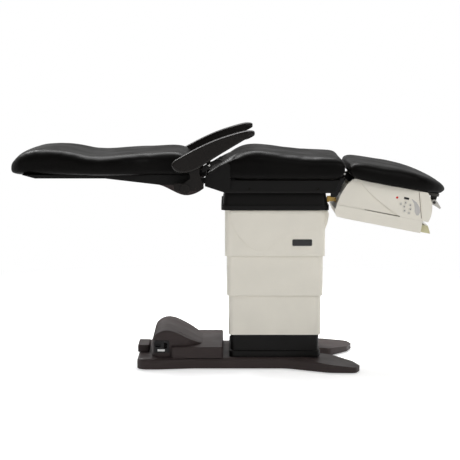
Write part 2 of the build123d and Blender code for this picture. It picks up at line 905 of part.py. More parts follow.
def build_back_shell():
    """The moulded shell that carries the back cushion and hides the hinge frame."""
    half = back_shell_half_width
    end = back_pivot_x - back_end_gap
    shell = prism(shell_points(), -half, half)
    top = back_bottom_z - seat_gap
    well = box(bulge_rear_x - 42.0, end, -half + 6.0, half - 6.0, arm_pivot_z + 14.0, top - cover_wall)
    throat = box(arm_pivot_x - 60.0, end, -half + 6.0, half - 6.0, arm_pivot_z, arm_pivot_z + 30.0)
    shaft_way = rod(arm_pivot_x, arm_pivot_z, arm_shaft_radius + seat_gap, -half - 1.0, half + 1.0)
    return shell - well - throat - shaft_way


def build_back_frame():
    """The back frame: two hinge arms, a stretcher, a fixing plate and the arm shaft."""
    y0 = -back_arm_half_gauge - back_arm_thickness / 2
    y1 = y0 + back_arm_thickness
    low = arm_pivot_z + 15.0
    rear = bulge_rear_x - 38.0
    high = low + back_arm_height
    arm = box(rear, back_pivot_x - 8.0, y0, y1, low, high)
    arm = arm + rod(back_pivot_x, back_pivot_z, knuckle_radius, y0, y1)
    bore_end = -back_arm_half_gauge + pin_reach + 1.0
    arm = arm - rod(back_pivot_x, back_pivot_z, hinge_pin_radius + running_gap, y0 - 1.0, bore_end)
    drop = [
        (arm_pivot_x - 34.0, low + 2.0),
        (arm_pivot_x + 34.0, low + 2.0),
        (arm_pivot_x + 15.0, arm_pivot_z - 4.0),
        (arm_pivot_x - 15.0, arm_pivot_z - 4.0),
    ]
    hanger = prism(drop, y0, y1) + rod(arm_pivot_x, arm_pivot_z, 17.0, y0, y1)
    shaft = rod(arm_pivot_x, arm_pivot_z, arm_shaft_radius, -arm_inner_y - bracket_inset - bracket_thickness, y1)
    frame = both_sides(arm + hanger + shaft)
    frame = frame + box(rear, rear + 26.0, y1 - 1.0, -y1 + 1.0, low, high)
    tube = rod(back_pivot_x, back_pivot_z, torque_tube_radius, y1, -y1)
    lever = back_lever_point(0.0)
    half = lever_plate / 2
    eye = rod(lever[0], lever[1], 8.0, -half, half)
    web = prism(
        [
            (back_pivot_x - 8.0, back_pivot_z),
            (back_pivot_x + 8.0, back_pivot_z),
            (lever[0] + 6.0, lever[1] + 2.0),
            (lever[0] - 6.0, lever[1] - 2.0),
        ],
        -half,
        half,
    )
    return frame + tube + eye + web


def back_lever_point(turned):
    """The rod end's place on the back lever, with the back raised by some degrees."""
    angle = radians(back_lever_lead - turned)
    return (back_pivot_x + back_lever_radius * sin(angle), back_pivot_z - back_lever_radius * cos(angle))


def bulge_face(inset):
    """The side outline of the rounded cover under the back hinge."""
    top = arm_pivot_z + 10.0 - seat_gap
    rear = bulge_rear_x + inset * 2
    front = bulge_front_x - inset
    low = bulge_bottom_z + inset
    curve = Spline(
        (rear, top),
        (rear + 60.0, low + 17.0),
        (arm_pivot_x, low),
        (arm_pivot_x + 42.0, low + 8.0),
        (front, top - 16.0),
    )
    rest = Polyline((front, top - 16.0), (front - 26.0, top), (rear, top))
    return side_face(curve + rest)


def build_hinge_cover():
    """The rounded grey cover below the back hinge, open towards the shell."""
    half = back_shell_half_width
    outer = across(bulge_face(0.0), -half, half)
    inner = across(bulge_face(cover_wall), -half + cover_wall, half - cover_wall)
    lid = box(bulge_rear_x + 30.0, bulge_front_x - 20.0, -half + cover_wall, half - cover_wall, arm_pivot_z, arm_pivot_z + 20.0)
    shaft = rod(arm_pivot_x, arm_pivot_z, arm_shaft_radius + seat_gap, -half - 5.0, half + 5.0)
    return outer - inner - lid - shaft


# Arms


def arm_outline(inset):
    """The side outline of one arm, a long leaf that rises towards its tip."""
    px = arm_pivot_x
    pz = arm_pivot_z
    top = Spline(
        (px - 58.0 + inset, pz + 98.0),
        (px - 48.0 + inset, pz + 118.0 - inset),
        (px + 75.0, pz + 182.0 - inset),
        (px + 157.0, pz + 216.0 - inset),
        (px + 262.0, pz + 244.0 - inset),
        (px + 292.0 - inset, pz + 232.0),
    )
    bottom = Spline(
        (px + 292.0 - inset, pz + 232.0),
        (px + 214.0, pz + 184.0 + inset),
        (px + 157.0, pz + 150.0 + inset),
        (px + 88.0, pz + 106.0 + inset),
        (px + 8.0, pz + 68.0 + inset),
        (px - 40.0, pz + 76.0 + inset),
        (px - 58.0 + inset, pz + 98.0),
    )
    return side_face(top + bottom)


def arm_split():
    """The part of the space above the seam between arm shell and arm pad."""
    px = arm_pivot_x
    pz = arm_pivot_z
    drop = arm_pad_thickness
    seam = Spline(
        (px - 90.0, pz + 102.0 - drop),
        (px + 75.0, pz + 182.0 - drop),
        (px + 157.0, pz + 216.0 - drop),
        (px + 330.0, pz + 258.0 - drop),
    )
    rest = Polyline(
        (px + 330.0, pz + 258.0 - drop), (px + 330.0, pz + 300.0), (px - 90.0, pz + 300.0), (px - 90.0, pz + 102.0 - drop)
    )
    return across(side_face(seam + rest), -arm_inner_y - arm_width - 5.0, -arm_inner_y + 5.0)


def build_arm_body(inset):
    """The whole arm before it is split into shell and pad."""
    body = across(arm_outline(inset), -arm_inner_y - arm_width + inset, -arm_inner_y - inset)
    return fillet(body.faces().filter_by(Axis.Y).edges(), 9.0 - inset)


def build_arm_pad():
    """The soft top of one arm."""
    return build_arm_body(0.0) & arm_split()


def build_arm_shell():
    """The moulded underside of one arm."""
    shell = build_arm_body(1.0) - Pos(0, 0, -seat_gap) * arm_split()
    x, z = lever_place()
    y0 = lever_ear_y - lever_ear_thickness
    ear = rod(x, z, 9.0, y0, lever_ear_y) + box(x - 9.0, x + 9.0, y0, lever_ear_y, z, z + 22.0)
    return (shell + ear) - rod(x, z, lever_pin_radius + running_gap, y0 - 1.0, lever_ear_y + 1.0)


def build_arm_bracket():
    """The moulded bracket from the hub up to one arm."""
    px = arm_pivot_x
    pz = arm_pivot_z
    y1 = -arm_inner_y - bracket_inset
    y0 = y1 - bracket_thickness
    points = [
        (px - 48.0, pz + 22.0),
        (px - 6.0, pz + 22.0),
        (px + 24.0, pz + 44.0),
        (px + 8.0, pz + 90.0),
        (px + 62.0, pz + 110.0),
        (px + 60.0, pz + 62.0),
        (px + 80.0, pz + 2.0),
        (px + 60.0, pz - 9.0),
        (px - 46.0, pz - 9.0),
    ]
    radii = [8.0, 16.0, 14.0, 6.0, 6.0, 20.0, 8.0, 10.0, 8.0]
    face = side_face(FilletPolyline(*points, radius=radii, close=True))
    body = across(face, y0, y1) + rod(px, pz, hub_radius, y0 - hub_cap_thickness, y1)
    bore = rod(px, pz, arm_shaft_radius + running_gap, y0 - 0.5, y1 + 1.0)
    grown = build_arm_body(1.0 - seat_gap)
    return body - bore - grown


def lever_place():
    """The pin of the release lever on one arm."""
    return (arm_pivot_x + 98.0, arm_pivot_z + 101.0)


def build_arm_lever():
    """The small release lever under one arm, with its pin."""
    x, z = lever_place()
    y1 = lever_ear_y - lever_ear_thickness - seat_gap
    y0 = y1 - lever_thickness
    points = [
        (x - 30.0, z - 36.0),
        (x - 20.0, z - 12.0),
        (x - 4.0, z + 7.0),
        (x + 40.0, z + 10.0),
        (x + 56.0, z + 6.0),
        (x + 40.0, z + 1.0),
        (x + 6.0, z - 8.0),
        (x - 16.0, z - 30.0),
    ]
    body = prism(points, y0, y1, 2.0)
    head = rod(x, z, lever_pin_radius + 1.5, y0 - 2.0, y0)
    return body + head + rod(x, z, lever_pin_radius, y0, y1 + seat_gap + lever_ear_thickness)


# Leg section


def droop(shape):
    """Turns a level leg piece down to its lowest position, about the hinge line."""
    level = Rot(0, leg_droop, 0) * shape
    return Pos(leg_pivot_x, 0, leg_pivot_z) * level


def pad_side_face():
    """The level side outline of the leg cushion."""
    low = pad_bottom
    length = pad_length
    top = Spline(
        (pad_rear, 42.0),
        (12.0, 58.0),
        (36.0, 65.0),
        (length * 0.244, 68.0),
        (length * 0.443, pad_top),
        (length * 0.643, 66.0),
        (length - 76.0, 51.0),
        (length - 22.0, 34.0),
        (length, 10.0),
    )
    nose = Spline(
        (length, 10.0),
        (length - 11.0, 3.5),
        (length - 26.0, -1.0),
        (length - 46.0, -2.8),
        (length - 70.0, low),
    )
    heel = Spline((48.0, low), (18.0, 12.0), (pad_rear, 42.0))
    sole = Polyline((length - 70.0, low), (48.0, low))
    return side_face(top + nose + sole + heel)


def build_leg_cushion():
    """The leg cushion, narrowing to a round nose."""
    wide = pad_half_width + 5.0
    body = across(pad_side_face(), -wide, wide)
    half = [
        (-10.0, -pad_half_width),
        (pad_length - 191.0, -pad_half_width),
        (pad_length - 60.0, -pad_nose_half_width - 25.0),
        (pad_length + 5.0, -pad_nose_half_width + 75.0),
    ]
    radii = [10.0, 160.0, 60.0, 90.0]
    points = half + [(x, -y) for x, y in reversed(half)]
    plan = make_face(FilletPolyline(*points, radius=radii + radii[::-1], close=True))
    section = along(pad_half_width, pad_bottom - 5.0, pad_top, side_round, base_round)
    return body & (Pos(0, 0, pad_bottom - 5.0) * extrude(plan, amount=pad_top + 10.0)) & section


rail_top = pad_bottom - seat_gap * 2 - carrier_thickness


def housing_face(inset):
    """The level side outline of the leg housing above its lower seam."""
    top = pad_bottom - 1.0 - inset
    low = housing_bottom
    length = housing_length - inset
    curve = Spline(
        (39.0 + inset, top),
        (4.0 + inset, -50.0),
        (-14.0 + inset, -115.0),
        (-15.5 + inset, low),
    )
    rest = Polyline((-15.5 + inset, low), (length, low), (length - 12.0, -60.0), (length - 36.0, top), (39.0 + inset, top))
    return side_face(curve + rest)


def build_leg_housing():
    """The cream leg housing: an open-topped shell with its swept relief."""
    half = housing_half_width
    wall = cover_wall
    outer = across(housing_face(0.0), -half, half)
    inner = across(housing_face(wall), -half + wall, half - wall)
    inner = inner + box(60.0, housing_length - 50.0, -half + wall, half - wall, -30.0, 5.0)
    inner = inner + box(10.0, housing_length - 20.0, -half + wall, half - wall, housing_bottom - 1.0, housing_bottom + 10.0)
    front = box(housing_length - 60.0, housing_length + 5.0, -half + 14.0, half - 14.0, housing_bottom + 6.0, 5.0)
    rear = box(-30.0, 65.0, -carrier_half_width - 4.0, carrier_half_width + 4.0, -38.0, 5.0)
    lean = (sweep_fall, wall, sweep_rise)
    inner = inner - both_sides(Pos(*lean) * sweep_wedge())
    ports = keypad_cut()
    return outer - inner - front - rear - both_sides(sweep_wedge()) - ports


def sweep_wedge():
    """What the swept relief takes off the side: nothing at the lower rear corner, most at the crease."""
    half = housing_half_width
    block = across(sweep_face(), -half - 30.0, -half)
    hinge = Axis((-20.0, -half, housing_bottom), (housing_length * 0.579, 0.0, housing_bottom))
    return block.rotate(hinge, -degrees(atan(sweep_depth / sweep_width)))


def sweep_face():
    """The hollowed lower rear part of the housing side, under the sweeping crease."""
    low = housing_bottom - 1.0
    top = pad_bottom + 2.0
    foot_x = housing_length * 0.744
    head_x = housing_length * 0.165
    crease = Spline(
        (head_x, top),
        (housing_length * 0.259, housing_bottom * 0.286),
        (housing_length * 0.426, housing_bottom * 0.58),
        (housing_length * 0.645, housing_bottom * 0.889),
        (foot_x, low),
    )
    rest = Polyline((foot_x, low), (-40.0, low), (-40.0, top), (head_x, top))
    return side_face(crease + rest)


key_offsets = [
    (-18.0, 8.0),
    (0.5, 17.0),
    (-2.0, 0.0),
    (22.0, 11.0),
    (26.0, -6.0),
    (3.0, -17.0),
    (23.0, -23.0),
]
key_places = [(keypad_x + x, keypad_z + z) for x, z in key_offsets]
display_place = (keypad_x + 0.8, keypad_z + 36.0)
lamp_place = (keypad_x - 39.1, keypad_z + 32.0)


def keypad_cut():
    """The holes in the housing side for keys, lamp and display."""
    y0 = -housing_half_width - 1.0
    y1 = -housing_half_width + cover_wall + 1.0
    cut = rod(lamp_place[0], lamp_place[1], lamp_radius, y0, y1)
    x, z = display_place
    half = display_length / 2
    high = display_height / 2
    cut = cut + box(x - half, x + half, y0, y1, z - high, z + high)
    for x, z in key_places:
        cut = cut + rod(x, z, key_radius + 0.4, y0, y1)
    return cut


def build_key(place):
    """One round key: a cap with a flange behind the housing wall."""
    x, z = place
    front = -housing_half_width - key_height
    inside = -housing_half_width + cover_wall + key_travel / 2
    cap = rod(x, z, key_radius, front, inside)
    cap = fillet(cap.edges().sort_by(Axis.Y)[0], 0.8)
    return cap + rod(x, z, key_radius + 1.5, inside, inside + 1.5)


def build_key_board():
    """The circuit board behind the keys."""
    wall = -housing_half_width + cover_wall
    back = wall + key_travel * 2 + board_stand_off
    x0 = keypad_x - 26.0
    x1 = keypad_x + 44.0
    z0 = keypad_z - 30.0
    z1 = keypad_z + 44.0
    board = box(x0, x1, back, back + board_thickness, z0, z1)
    for x in (x0 + 6.0, x1 - 6.0):
        for z in (z0 + 5.0, z1 - 5.0):
            board = board + rod(x, z, board_post_radius, wall + seat_gap, back)
    return board


def build_status_lamp():
    """The red lamp lens."""
    x, z = lamp_place
    lens = rod(x, z, lamp_radius, -housing_half_width - 1.0, -housing_half_width + cover_wall)
    return fillet(lens.edges().sort_by(Axis.Y)[0], 0.7)


def build_display():
    """The dark display window."""
    x, z = display_place
    half = display_length / 2
    high = display_height / 2
    front = -housing_half_width - 0.5
    return box(x - half, x + half, front, front + cover_wall, z - high, z + high)


def build_end_cap():
    """The rounded cap on the foot end of the housing."""
    half = housing_half_width
    top = pad_bottom - 1.0
    low = housing_bottom
    length = housing_length
    gap = seat_gap
    outer_line = Spline(
        (length + 2.0, top),
        (length + end_cap_reach, -62.0),
        (length + end_cap_reach - 4.0, low),
    )
    rest = Polyline(
        (length + end_cap_reach - 4.0, low), (length + gap, low), (length - 12.0 + gap, -60.0), (length - 36.0 + gap, top), (length + 2.0, top)
    )
    cap = across(side_face(outer_line + rest), -half, half)
    reach = carrier_half_width + 3.0
    notch = box(length - 60.0, length + 60.0, -reach, reach, rail_top - 2.0, 10.0)
    reach = leg_rail_half_gauge
    deep = box(length - 60.0, length + 60.0, -reach, reach, rail_top - runner_depth - 4.0, 10.0)
    return cap - notch - deep


def build_leg_pan():
    """The lower part of the leg housing, a sleeve for the tray open at the foot end."""
    half = housing_half_width
    wall = cover_wall
    top = housing_bottom - seat_gap
    points = [
        (-15.5, top),
        (-19.0, -150.0),
        (-8.0, pan_floor + 2.0),
        (30.0, pan_floor),
        (housing_length + 4.0, pan_floor),
        (housing_length + 4.0, top),
    ]
    radii = [0.0, 12.0, 8.0, 20.0, 0.0, 0.0]
    outer = across(side_face(FilletPolyline(*points, radius=radii, close=True)), -half, half)
    inner = box(0.0, housing_length + 10.0, -half + wall, half - wall, pan_floor + wall, top - wall)
    return outer - inner


def build_debris_tray():
    """The pull-out debris tray with its lipped front."""
    half = tray_half_width
    wall = tray_wall
    floor_z = pan_floor + cover_wall + seat_gap
    back = tray_rear_x
    front = housing_length + 22.0
    outer = box(back, front, -half, half, floor_z, floor_z + tray_height)
    inner = box(back + wall, front - wall, -half + wall, half - wall, floor_z + wall, floor_z + tray_height + 1.0)
    lip_points = [
        (front - wall, floor_z),
        (front - wall, floor_z + tray_height),
        (front + 10.0, floor_z + tray_height),
        (front + 26.0, floor_z + 2.0),
        (front + 22.0, floor_z),
    ]
    lip = prism(lip_points, -half, half)
    scoop_points = [
        (front + 1.0, floor_z - 1.0),
        (front + 1.0, floor_z + tray_height - wall),
        (front + 8.0, floor_z + tray_height - wall),
        (front + 19.0, floor_z - 1.0),
    ]
    scoop = prism(scoop_points, -half + wall, half - wall)
    return outer - inner + (lip - scoop)


def build_leg_frame():
    """The leg frame: hinge arms, two rails and their cross members."""
    gauge = leg_rail_half_gauge
    half = leg_rail_width / 2
    low = rail_top - leg_rail_depth
    rear = 62.0
    front = housing_length - 44.0
    rails = both_sides(box(rear, front, -gauge - half, -gauge + half, low, rail_top))
    for x in (rear, front - 24.0):
        rails = rails + box(x, x + 24.0, -gauge + half, gauge - half, low, low + 10.0)
    y0 = -leg_arm_half_gauge - leg_arm_thickness / 2
    y1 = y0 + leg_arm_thickness
    points = [
        (leg_knuckle_radius * 0.6, leg_knuckle_radius * 0.7),
        (26.0, pad_bottom - 4.0),
        (rear + 24.0, pad_bottom - carrier_thickness - 1.0),
        (rear + 24.0, low),
        (rear - 20.0, low + 4.0),
        (-leg_knuckle_radius * 0.2, -leg_knuckle_radius * 0.9),
    ]
    arm = prism(points, y0, y1) + rod(0, 0, leg_knuckle_radius, y0, y1)
    arm = arm - rod(0, 0, leg_pin_radius + running_gap, y0 - 1.0, y1 + 1.0)
    side_y = housing_half_width - cover_wall - seat_gap
    tabs = box(rear + 60.0, rear + 84.0, -side_y, -gauge - half, low, low + 10.0)
    return rails + both_sides(arm) + both_sides(tabs)


def lock_place():
    """The axis of the lock lever under the nose of the leg cushion."""
    return (lock_x, lock_z)


def build_pad_carrier():
    """The board under the leg cushion with its runners and the lock bracket."""
    top = pad_bottom - seat_gap
    low = top - carrier_thickness
    x0 = carrier_rear_x
    board = rounded_box(x0, carrier_front_x, -carrier_half_width, carrier_half_width, low, top, 40.0)
    runner_y = leg_rail_half_gauge - leg_rail_width / 2 - seat_gap * 2
    runners = box(x0 + 40.0, housing_length - 52.0, -runner_y, -runner_y + runner_width, low - runner_depth, low)
    board = board + both_sides(runners)
    x, z = lock_place()
    ears = None
    thick = lock_ear_thickness
    outer, inner = lock_ear_places()
    for y in (outer, inner):
        points = [(x - 14.0, low), (x + 12.0, low), (x + 9.0, z - 6.0), (x - 9.0, z - 6.0)]
        ear = prism(points, y, y + thick, 3.0) + box(x - 13.0, x + 11.0, y, y + thick, low - 6.0, low)
        ears = ear if ears is None else ears + ear
    pin_end = outer - seat_gap * 2 - lock_hub_length
    head = rod(x, z, lock_pin_radius + 2.5, pin_end - 2.0, pin_end)
    return board + ears + head + rod(x, z, lock_pin_radius, pin_end, inner + thick)


def lock_ear_places():
    """Where the two ears of the lock bracket start, from right to left."""
    outer = -tray_half_width + lock_ear_inset
    return (outer, outer + lock_ear_pitch)


def build_lock_lever():
    """The cam lever that locks the leg cushion's slide."""
    x, z = lock_place()
    y1 = lock_ear_places()[0] - seat_gap
    y0 = y1 - lock_hub_length
    hub = rod(x, z, lock_hub_radius, y0, y1)
    points = [(x, z + 9.0), (x + 14.0, z + 4.0), (x + 34.0, z - 18.0), (x + 30.0, z - 24.0), (x - 4.0, z - 10.0)]
    blade = prism(points, y0 + 5.0, y1 - 5.0)
    return (hub + blade) - rod(x, z, lock_pin_radius + running_gap, y0 - 1.0, y1 + 1.0)


# Actuators


def bar(x0, x1, y, z, radius):
    """A round bar along the chair."""
    return Pos((x0 + x1) / 2, y, z) * Rot(0, 90, 0) * Cylinder(radius, x1 - x0)


def leg_lever_point(turned):
    """The rod end's place on the leg lever, with the leg section raised by some degrees."""
    angle = radians(leg_droop - turned)
    x = leg_pivot_x + leg_lever_x * cos(angle) + leg_lever_z * sin(angle)
    z = leg_pivot_z - leg_lever_x * sin(angle) + leg_lever_z * cos(angle)
    return (x, z)


def build_leg_actuator():
    """The leg actuator's tube and motor block, under the carriage deck."""
    x, z = leg_lever_point(0.0)
    y = leg_actuator_y
    deck_end = column_x + stage_length / 2 + deck_margin
    front = column_x + shroud_half_length - 8.0
    tube = bar(deck_end + 3.0, front, y, z, actuator_radius)
    top = carriage_plate_z - seat_gap
    motor = box(deck_end - 70.0, deck_end + 4.0, y - 24.0, y + 24.0, z - 26.0, top)
    bore = bar(deck_end + 12.0, front + 1.0, y, z, rod_radius + running_gap)
    hanger = box(deck_end + 2.0, deck_end + 20.0, y - 12.0, y + 12.0, z, pan_bottom_z - seat_gap)
    return tube + motor + hanger - bore


def build_leg_actuator_rod():
    """The leg actuator's rod with the fork that takes the leg lever."""
    x, z = leg_lever_point(0.0)
    y = leg_actuator_y
    half = lever_plate / 2 + fork_gap
    deck_end = column_x + stage_length / 2 + deck_margin
    rod_body = bar(deck_end + 18.0, x - 18.0, y, z, rod_radius)
    root = box(x - 24.0, x - 16.0, y - half - fork_cheek, y + half + fork_cheek, z - 13.0, z + 13.0)
    cheek = box(x - 16.0, x + 7.0, y - half - fork_cheek, y - half, z - 9.0, z + 13.0)
    far = box(x - 16.0, x + 7.0, y + half, y + half + fork_cheek, z - 9.0, z + 13.0)
    return rod_body + root + cheek + far


def build_actuator_bracket():
    """The zinc-plated lug on the back of the leg housing that the leg actuator pushes."""
    y = leg_actuator_y
    half = lever_plate / 2
    wall_x = -14.0 - seat_gap
    x = leg_lever_x
    z = leg_lever_z
    plate = rod(x, z, 8.0, y - half, y + half)
    plate = plate + box(x, wall_x - 3.0, y - half, y + half, z - 8.0, z + 8.0)
    foot = box(wall_x - 5.0, wall_x - 2.2, y - 24.0, y + 24.0, z - 10.0, z + 12.0)
    return plate + foot


def build_back_actuator():
    """The back actuator's tube and motor block, on the seat frame's centre line."""
    z = back_rod_z
    rear = back_pivot_x + 60.0
    front = column_x - stage_length / 2 - deck_margin - 2.0
    tube = bar(rear, front, 0.0, z, actuator_radius - 1.0)
    bore = bar(rear - 1.0, front - 6.0, 0.0, z, rod_radius - 1.0 + running_gap)
    motor = box(front - 30.0, front, -40.0, 40.0, z - 13.0, z + 9.0)
    return tube + motor - bore


def build_back_actuator_rod():
    """The back actuator's rod with the fork that takes the back lever."""
    x, z = back_lever_point(0.0)
    half = lever_plate / 2 + fork_gap
    high = z + 8.0
    low = back_rod_z - 9.0
    rod_body = bar(x + 14.0, back_pivot_x + 100.0, 0.0, back_rod_z, rod_radius - 1.0)
    root = box(x + 11.0, x + 17.0, -half - fork_cheek, half + fork_cheek, low, back_rod_z + 8.0)
    cheek = box(x - 9.0, x + 11.0, -half - fork_cheek, -half, low, high)
    far = box(x - 9.0, x + 11.0, half, half + fork_cheek, low, high)
    return rod_body + root + cheek + far


def build_cover_screws():
    """The screw heads on the sides of the seat pan."""
    heads = None
    for x in (pan_front_x - 69.0, column_x - 110.0):
        y = -pan_half_width
        head = rod(x, pan_bottom_z + 18.0, screw_radius, y - screw_head, y)
        heads = head if heads is None else heads + head
    return both_sides(heads)


save(build_base_cover(), "base_cover")
save(build_base_frame(), "base_frame")
save(build_glides(), "levelling_glides")
save(build_power_housing(), "power_housing")
save(build_inlet_panel(), "inlet_panel")
save(build_mains_inlet(), "mains_inlet")
save(build_power_switch(), "power_switch")
save(build_power_unit(), "power_unit")
save(build_control_box(), "control_box")
save(build_service_box(), "rear_service_box")
save(build_plinth(), "column_plinth")
save(build_shroud(3, base_top_z, shroud_fixed_top_z), "shroud_fixed")
save(build_guided_shroud(2, *shroud_lower_z), "shroud_lower")
save(build_guided_shroud(1, *shroud_middle_z), "shroud_middle")
save(build_shroud_upper(), "shroud_upper")
save(build_badge_plate(), "badge_plate")
save(stage_tube(0, stage_fixed_z), "lift_stage_fixed")
save(stage_tube(1, stage_middle_z), "lift_stage_middle")
save(stage_tube(2, stage_top_z), "lift_stage_top")
save(build_skirt(), "underseat_skirt")
save(build_seat_pan(), "seat_pan")
save(build_seat_frame(), "seat_frame")
save(build_seat_cushion(), "seat_cushion")
save(build_hinge_pins(), "hinge_pins")
save(build_cover_screws(), "cover_screws")
save(build_back_actuator(), "back_actuator")
save(build_back_actuator_rod(), "back_actuator_rod")
save(build_leg_actuator(), "leg_actuator")
save(build_leg_actuator_rod(), "leg_actuator_rod")
save(droop(build_actuator_bracket()), "actuator_bracket")
save(build_back_cushion(), "back_cushion")
save(build_back_shell(), "back_shell")
save(build_back_frame(), "back_frame")
save(build_hinge_cover(), "hinge_cover")
for name, build in (
    ("arm_pad", build_arm_pad),
    ("arm_shell", build_arm_shell),
    ("arm_bracket", build_arm_bracket),
    ("arm_lever", build_arm_lever),
):
    right = build()
    save(right, name + "_right")
    save(mirror(right, about=Plane.XZ), name + "_left")
save(droop(build_leg_cushion()), "leg_cushion")
save(droop(build_pad_carrier()), "pad_carrier")
save(droop(build_lock_lever()), "lock_lever")
save(droop(build_leg_housing()), "leg_housing")
save(droop(build_end_cap()), "leg_end_cap")
save(droop(build_leg_pan()), "leg_pan")
save(droop(build_debris_tray()), "debris_tray")
save(droop(build_leg_frame()), "leg_frame")
save(droop(build_status_lamp()), "status_lamp")
save(droop(build_display()), "display_window")
save(droop(build_key_board()), "key_board")
for number, place in enumerate(key_places, 1):
    save(droop(build_key(place)), "key_" + str(number))
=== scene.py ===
import bpy
import json
import math
from mathutils import Matrix, Vector


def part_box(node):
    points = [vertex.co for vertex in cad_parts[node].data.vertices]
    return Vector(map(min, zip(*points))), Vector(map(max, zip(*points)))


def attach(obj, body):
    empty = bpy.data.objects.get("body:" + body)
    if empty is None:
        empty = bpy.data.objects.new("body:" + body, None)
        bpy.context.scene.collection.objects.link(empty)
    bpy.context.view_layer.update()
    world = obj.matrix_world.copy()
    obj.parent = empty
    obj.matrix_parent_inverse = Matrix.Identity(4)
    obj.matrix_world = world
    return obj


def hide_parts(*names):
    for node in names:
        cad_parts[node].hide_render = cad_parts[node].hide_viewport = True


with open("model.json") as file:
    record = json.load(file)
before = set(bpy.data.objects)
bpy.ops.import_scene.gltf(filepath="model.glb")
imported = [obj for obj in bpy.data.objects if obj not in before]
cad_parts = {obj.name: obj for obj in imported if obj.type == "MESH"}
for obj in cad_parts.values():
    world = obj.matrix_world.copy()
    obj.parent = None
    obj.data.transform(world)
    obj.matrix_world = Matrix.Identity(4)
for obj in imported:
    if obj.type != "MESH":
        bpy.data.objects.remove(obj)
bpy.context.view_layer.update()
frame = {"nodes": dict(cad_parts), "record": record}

bl_info = {
    "name": "Podiatry chair",
    "version": (1, 0, 0),
    "blender": (4, 5, 0),
    "location": "3D View > Sidebar > Chair",
    "description": "Builds the soft pieces, finishes and studio stage of a powered podiatry chair",
    "category": "Object",
}

MM = 0.001
SIDES = (("right", -1.0), ("left", 1.0))
UPRIGHT = math.radians(90.0)

# Hinges in metres, X and Z, that the leg pad's and the arms' stations start from.
LEG_PIVOT = (0.5, 0.836)
LEG_DROOP = math.radians(11.0)
ARM_PIVOT = (-0.180, 0.790)

# All lengths from here to the cloth settings are in millimetres.
# Stations of the cushions: place along X, underside, top and half width.
SEAT_STATIONS = [
    (-90.0, 830.0, 844.0, 180.0),
    (-78.0, 826.0, 853.0, 192.0),
    (-50.0, 825.0, 868.0, 198.0),
    (-22.0, 825.0, 884.0, 200.0),
    (-2.0, 825.0, 899.0, 201.0),
    (14.0, 825.0, 911.0, 203.0),
    (20.0, 825.0, 915.0, 262.0),
    (34.0, 825.0, 923.0, 276.0),
    (61.0, 825.0, 932.0, 281.0),
    (90.0, 825.0, 936.5, 282.0),
    (121.0, 825.0, 938.5, 282.0),
    (180.0, 825.0, 934.0, 282.0),
    (249.0, 825.0, 925.0, 282.0),
    (310.0, 825.0, 919.0, 282.0),
    (369.0, 825.0, 914.5, 282.0),
    (420.0, 825.0, 912.5, 282.0),
    (460.0, 826.0, 910.5, 282.0),
    (480.0, 832.0, 907.5, 281.0),
    (492.0, 841.0, 901.0, 279.0),
    (498.0, 855.0, 889.0, 274.0),
]
# The seat's rear wings reach back outside the back's side arms.
WING_STATIONS = [
    (-93.0, 842.0, 850.0, 9.0),
    (-86.0, 836.0, 856.0, 12.5),
    (-70.0, 831.0, 865.0, 14.0),
    (-50.0, 829.0, 876.5, 14.0),
    (-30.0, 828.0, 888.0, 14.0),
    (-10.0, 827.0, 899.0, 14.0),
    (14.0, 827.0, 910.0, 14.0),
    (34.0, 827.0, 919.0, 14.0),
]
WING_MIDDLE = 261.0
WING_TOP_ROUND = 8.0
WING_BASE_ROUND = 3.0
BACK_STATIONS = [
    (-934.0, 846.0, 876.0, 162.0),
    (-928.5, 843.0, 886.0, 178.0),
    (-915.5, 842.5, 899.0, 198.0),
    (-893.5, 842.5, 917.0, 217.0),
    (-860.5, 843.0, 931.0, 233.0),
    (-815.5, 843.0, 940.0, 250.0),
    (-755.5, 843.0, 942.5, 268.0),
    (-705.5, 843.0, 940.0, 280.0),
    (-660.5, 843.0, 934.0, 288.0),
    (-595.5, 843.0, 920.5, 295.0),
    (-545.5, 843.0, 917.5, 299.0),
    (-505.5, 843.0, 919.0, 300.0),
    (-445.5, 843.0, 924.0, 299.0),
    (-385.5, 843.0, 928.0, 292.0),
    (-333.5, 843.0, 930.0, 276.0),
    (-285.5, 843.0, 932.5, 271.0),
    (-243.5, 843.0, 934.5, 271.0),
    (-200.5, 843.0, 932.0, 271.0),
    (-173.5, 843.0, 924.0, 270.0),
    (-150.5, 844.0, 905.0, 268.0),
    (-137.0, 851.0, 881.0, 262.0),
]
# The leg pad is drawn level at its hinge and then drooped.
LEG_STATIONS = [
    (3.0, 22.0, 50.0, 262.0),
    (13.0, 9.0, 58.5, 270.0),
    (32.0, 1.0, 63.5, 274.0),
    (60.0, -1.0, 65.5, 276.0),
    (110.0, -2.0, 67.5, 276.5),
    (200.0, -2.0, 70.5, 276.5),
    (260.0, -2.0, 68.0, 274.0),
    (300.0, -2.0, 64.0, 266.0),
    (340.0, -2.0, 57.5, 249.0),
    (375.0, -2.0, 50.0, 225.0),
    (405.0, -1.5, 41.5, 195.0),
    (425.0, 0.0, 34.5, 163.0),
    (437.0, 2.5, 28.0, 132.0),
    (444.0, 6.5, 20.0, 98.0),
]
# Its edges are sharper than the other cushions', by these shares of their radii.
LEG_TOP_SHARE = 0.8
LEG_BASE_SHARE = 0.6

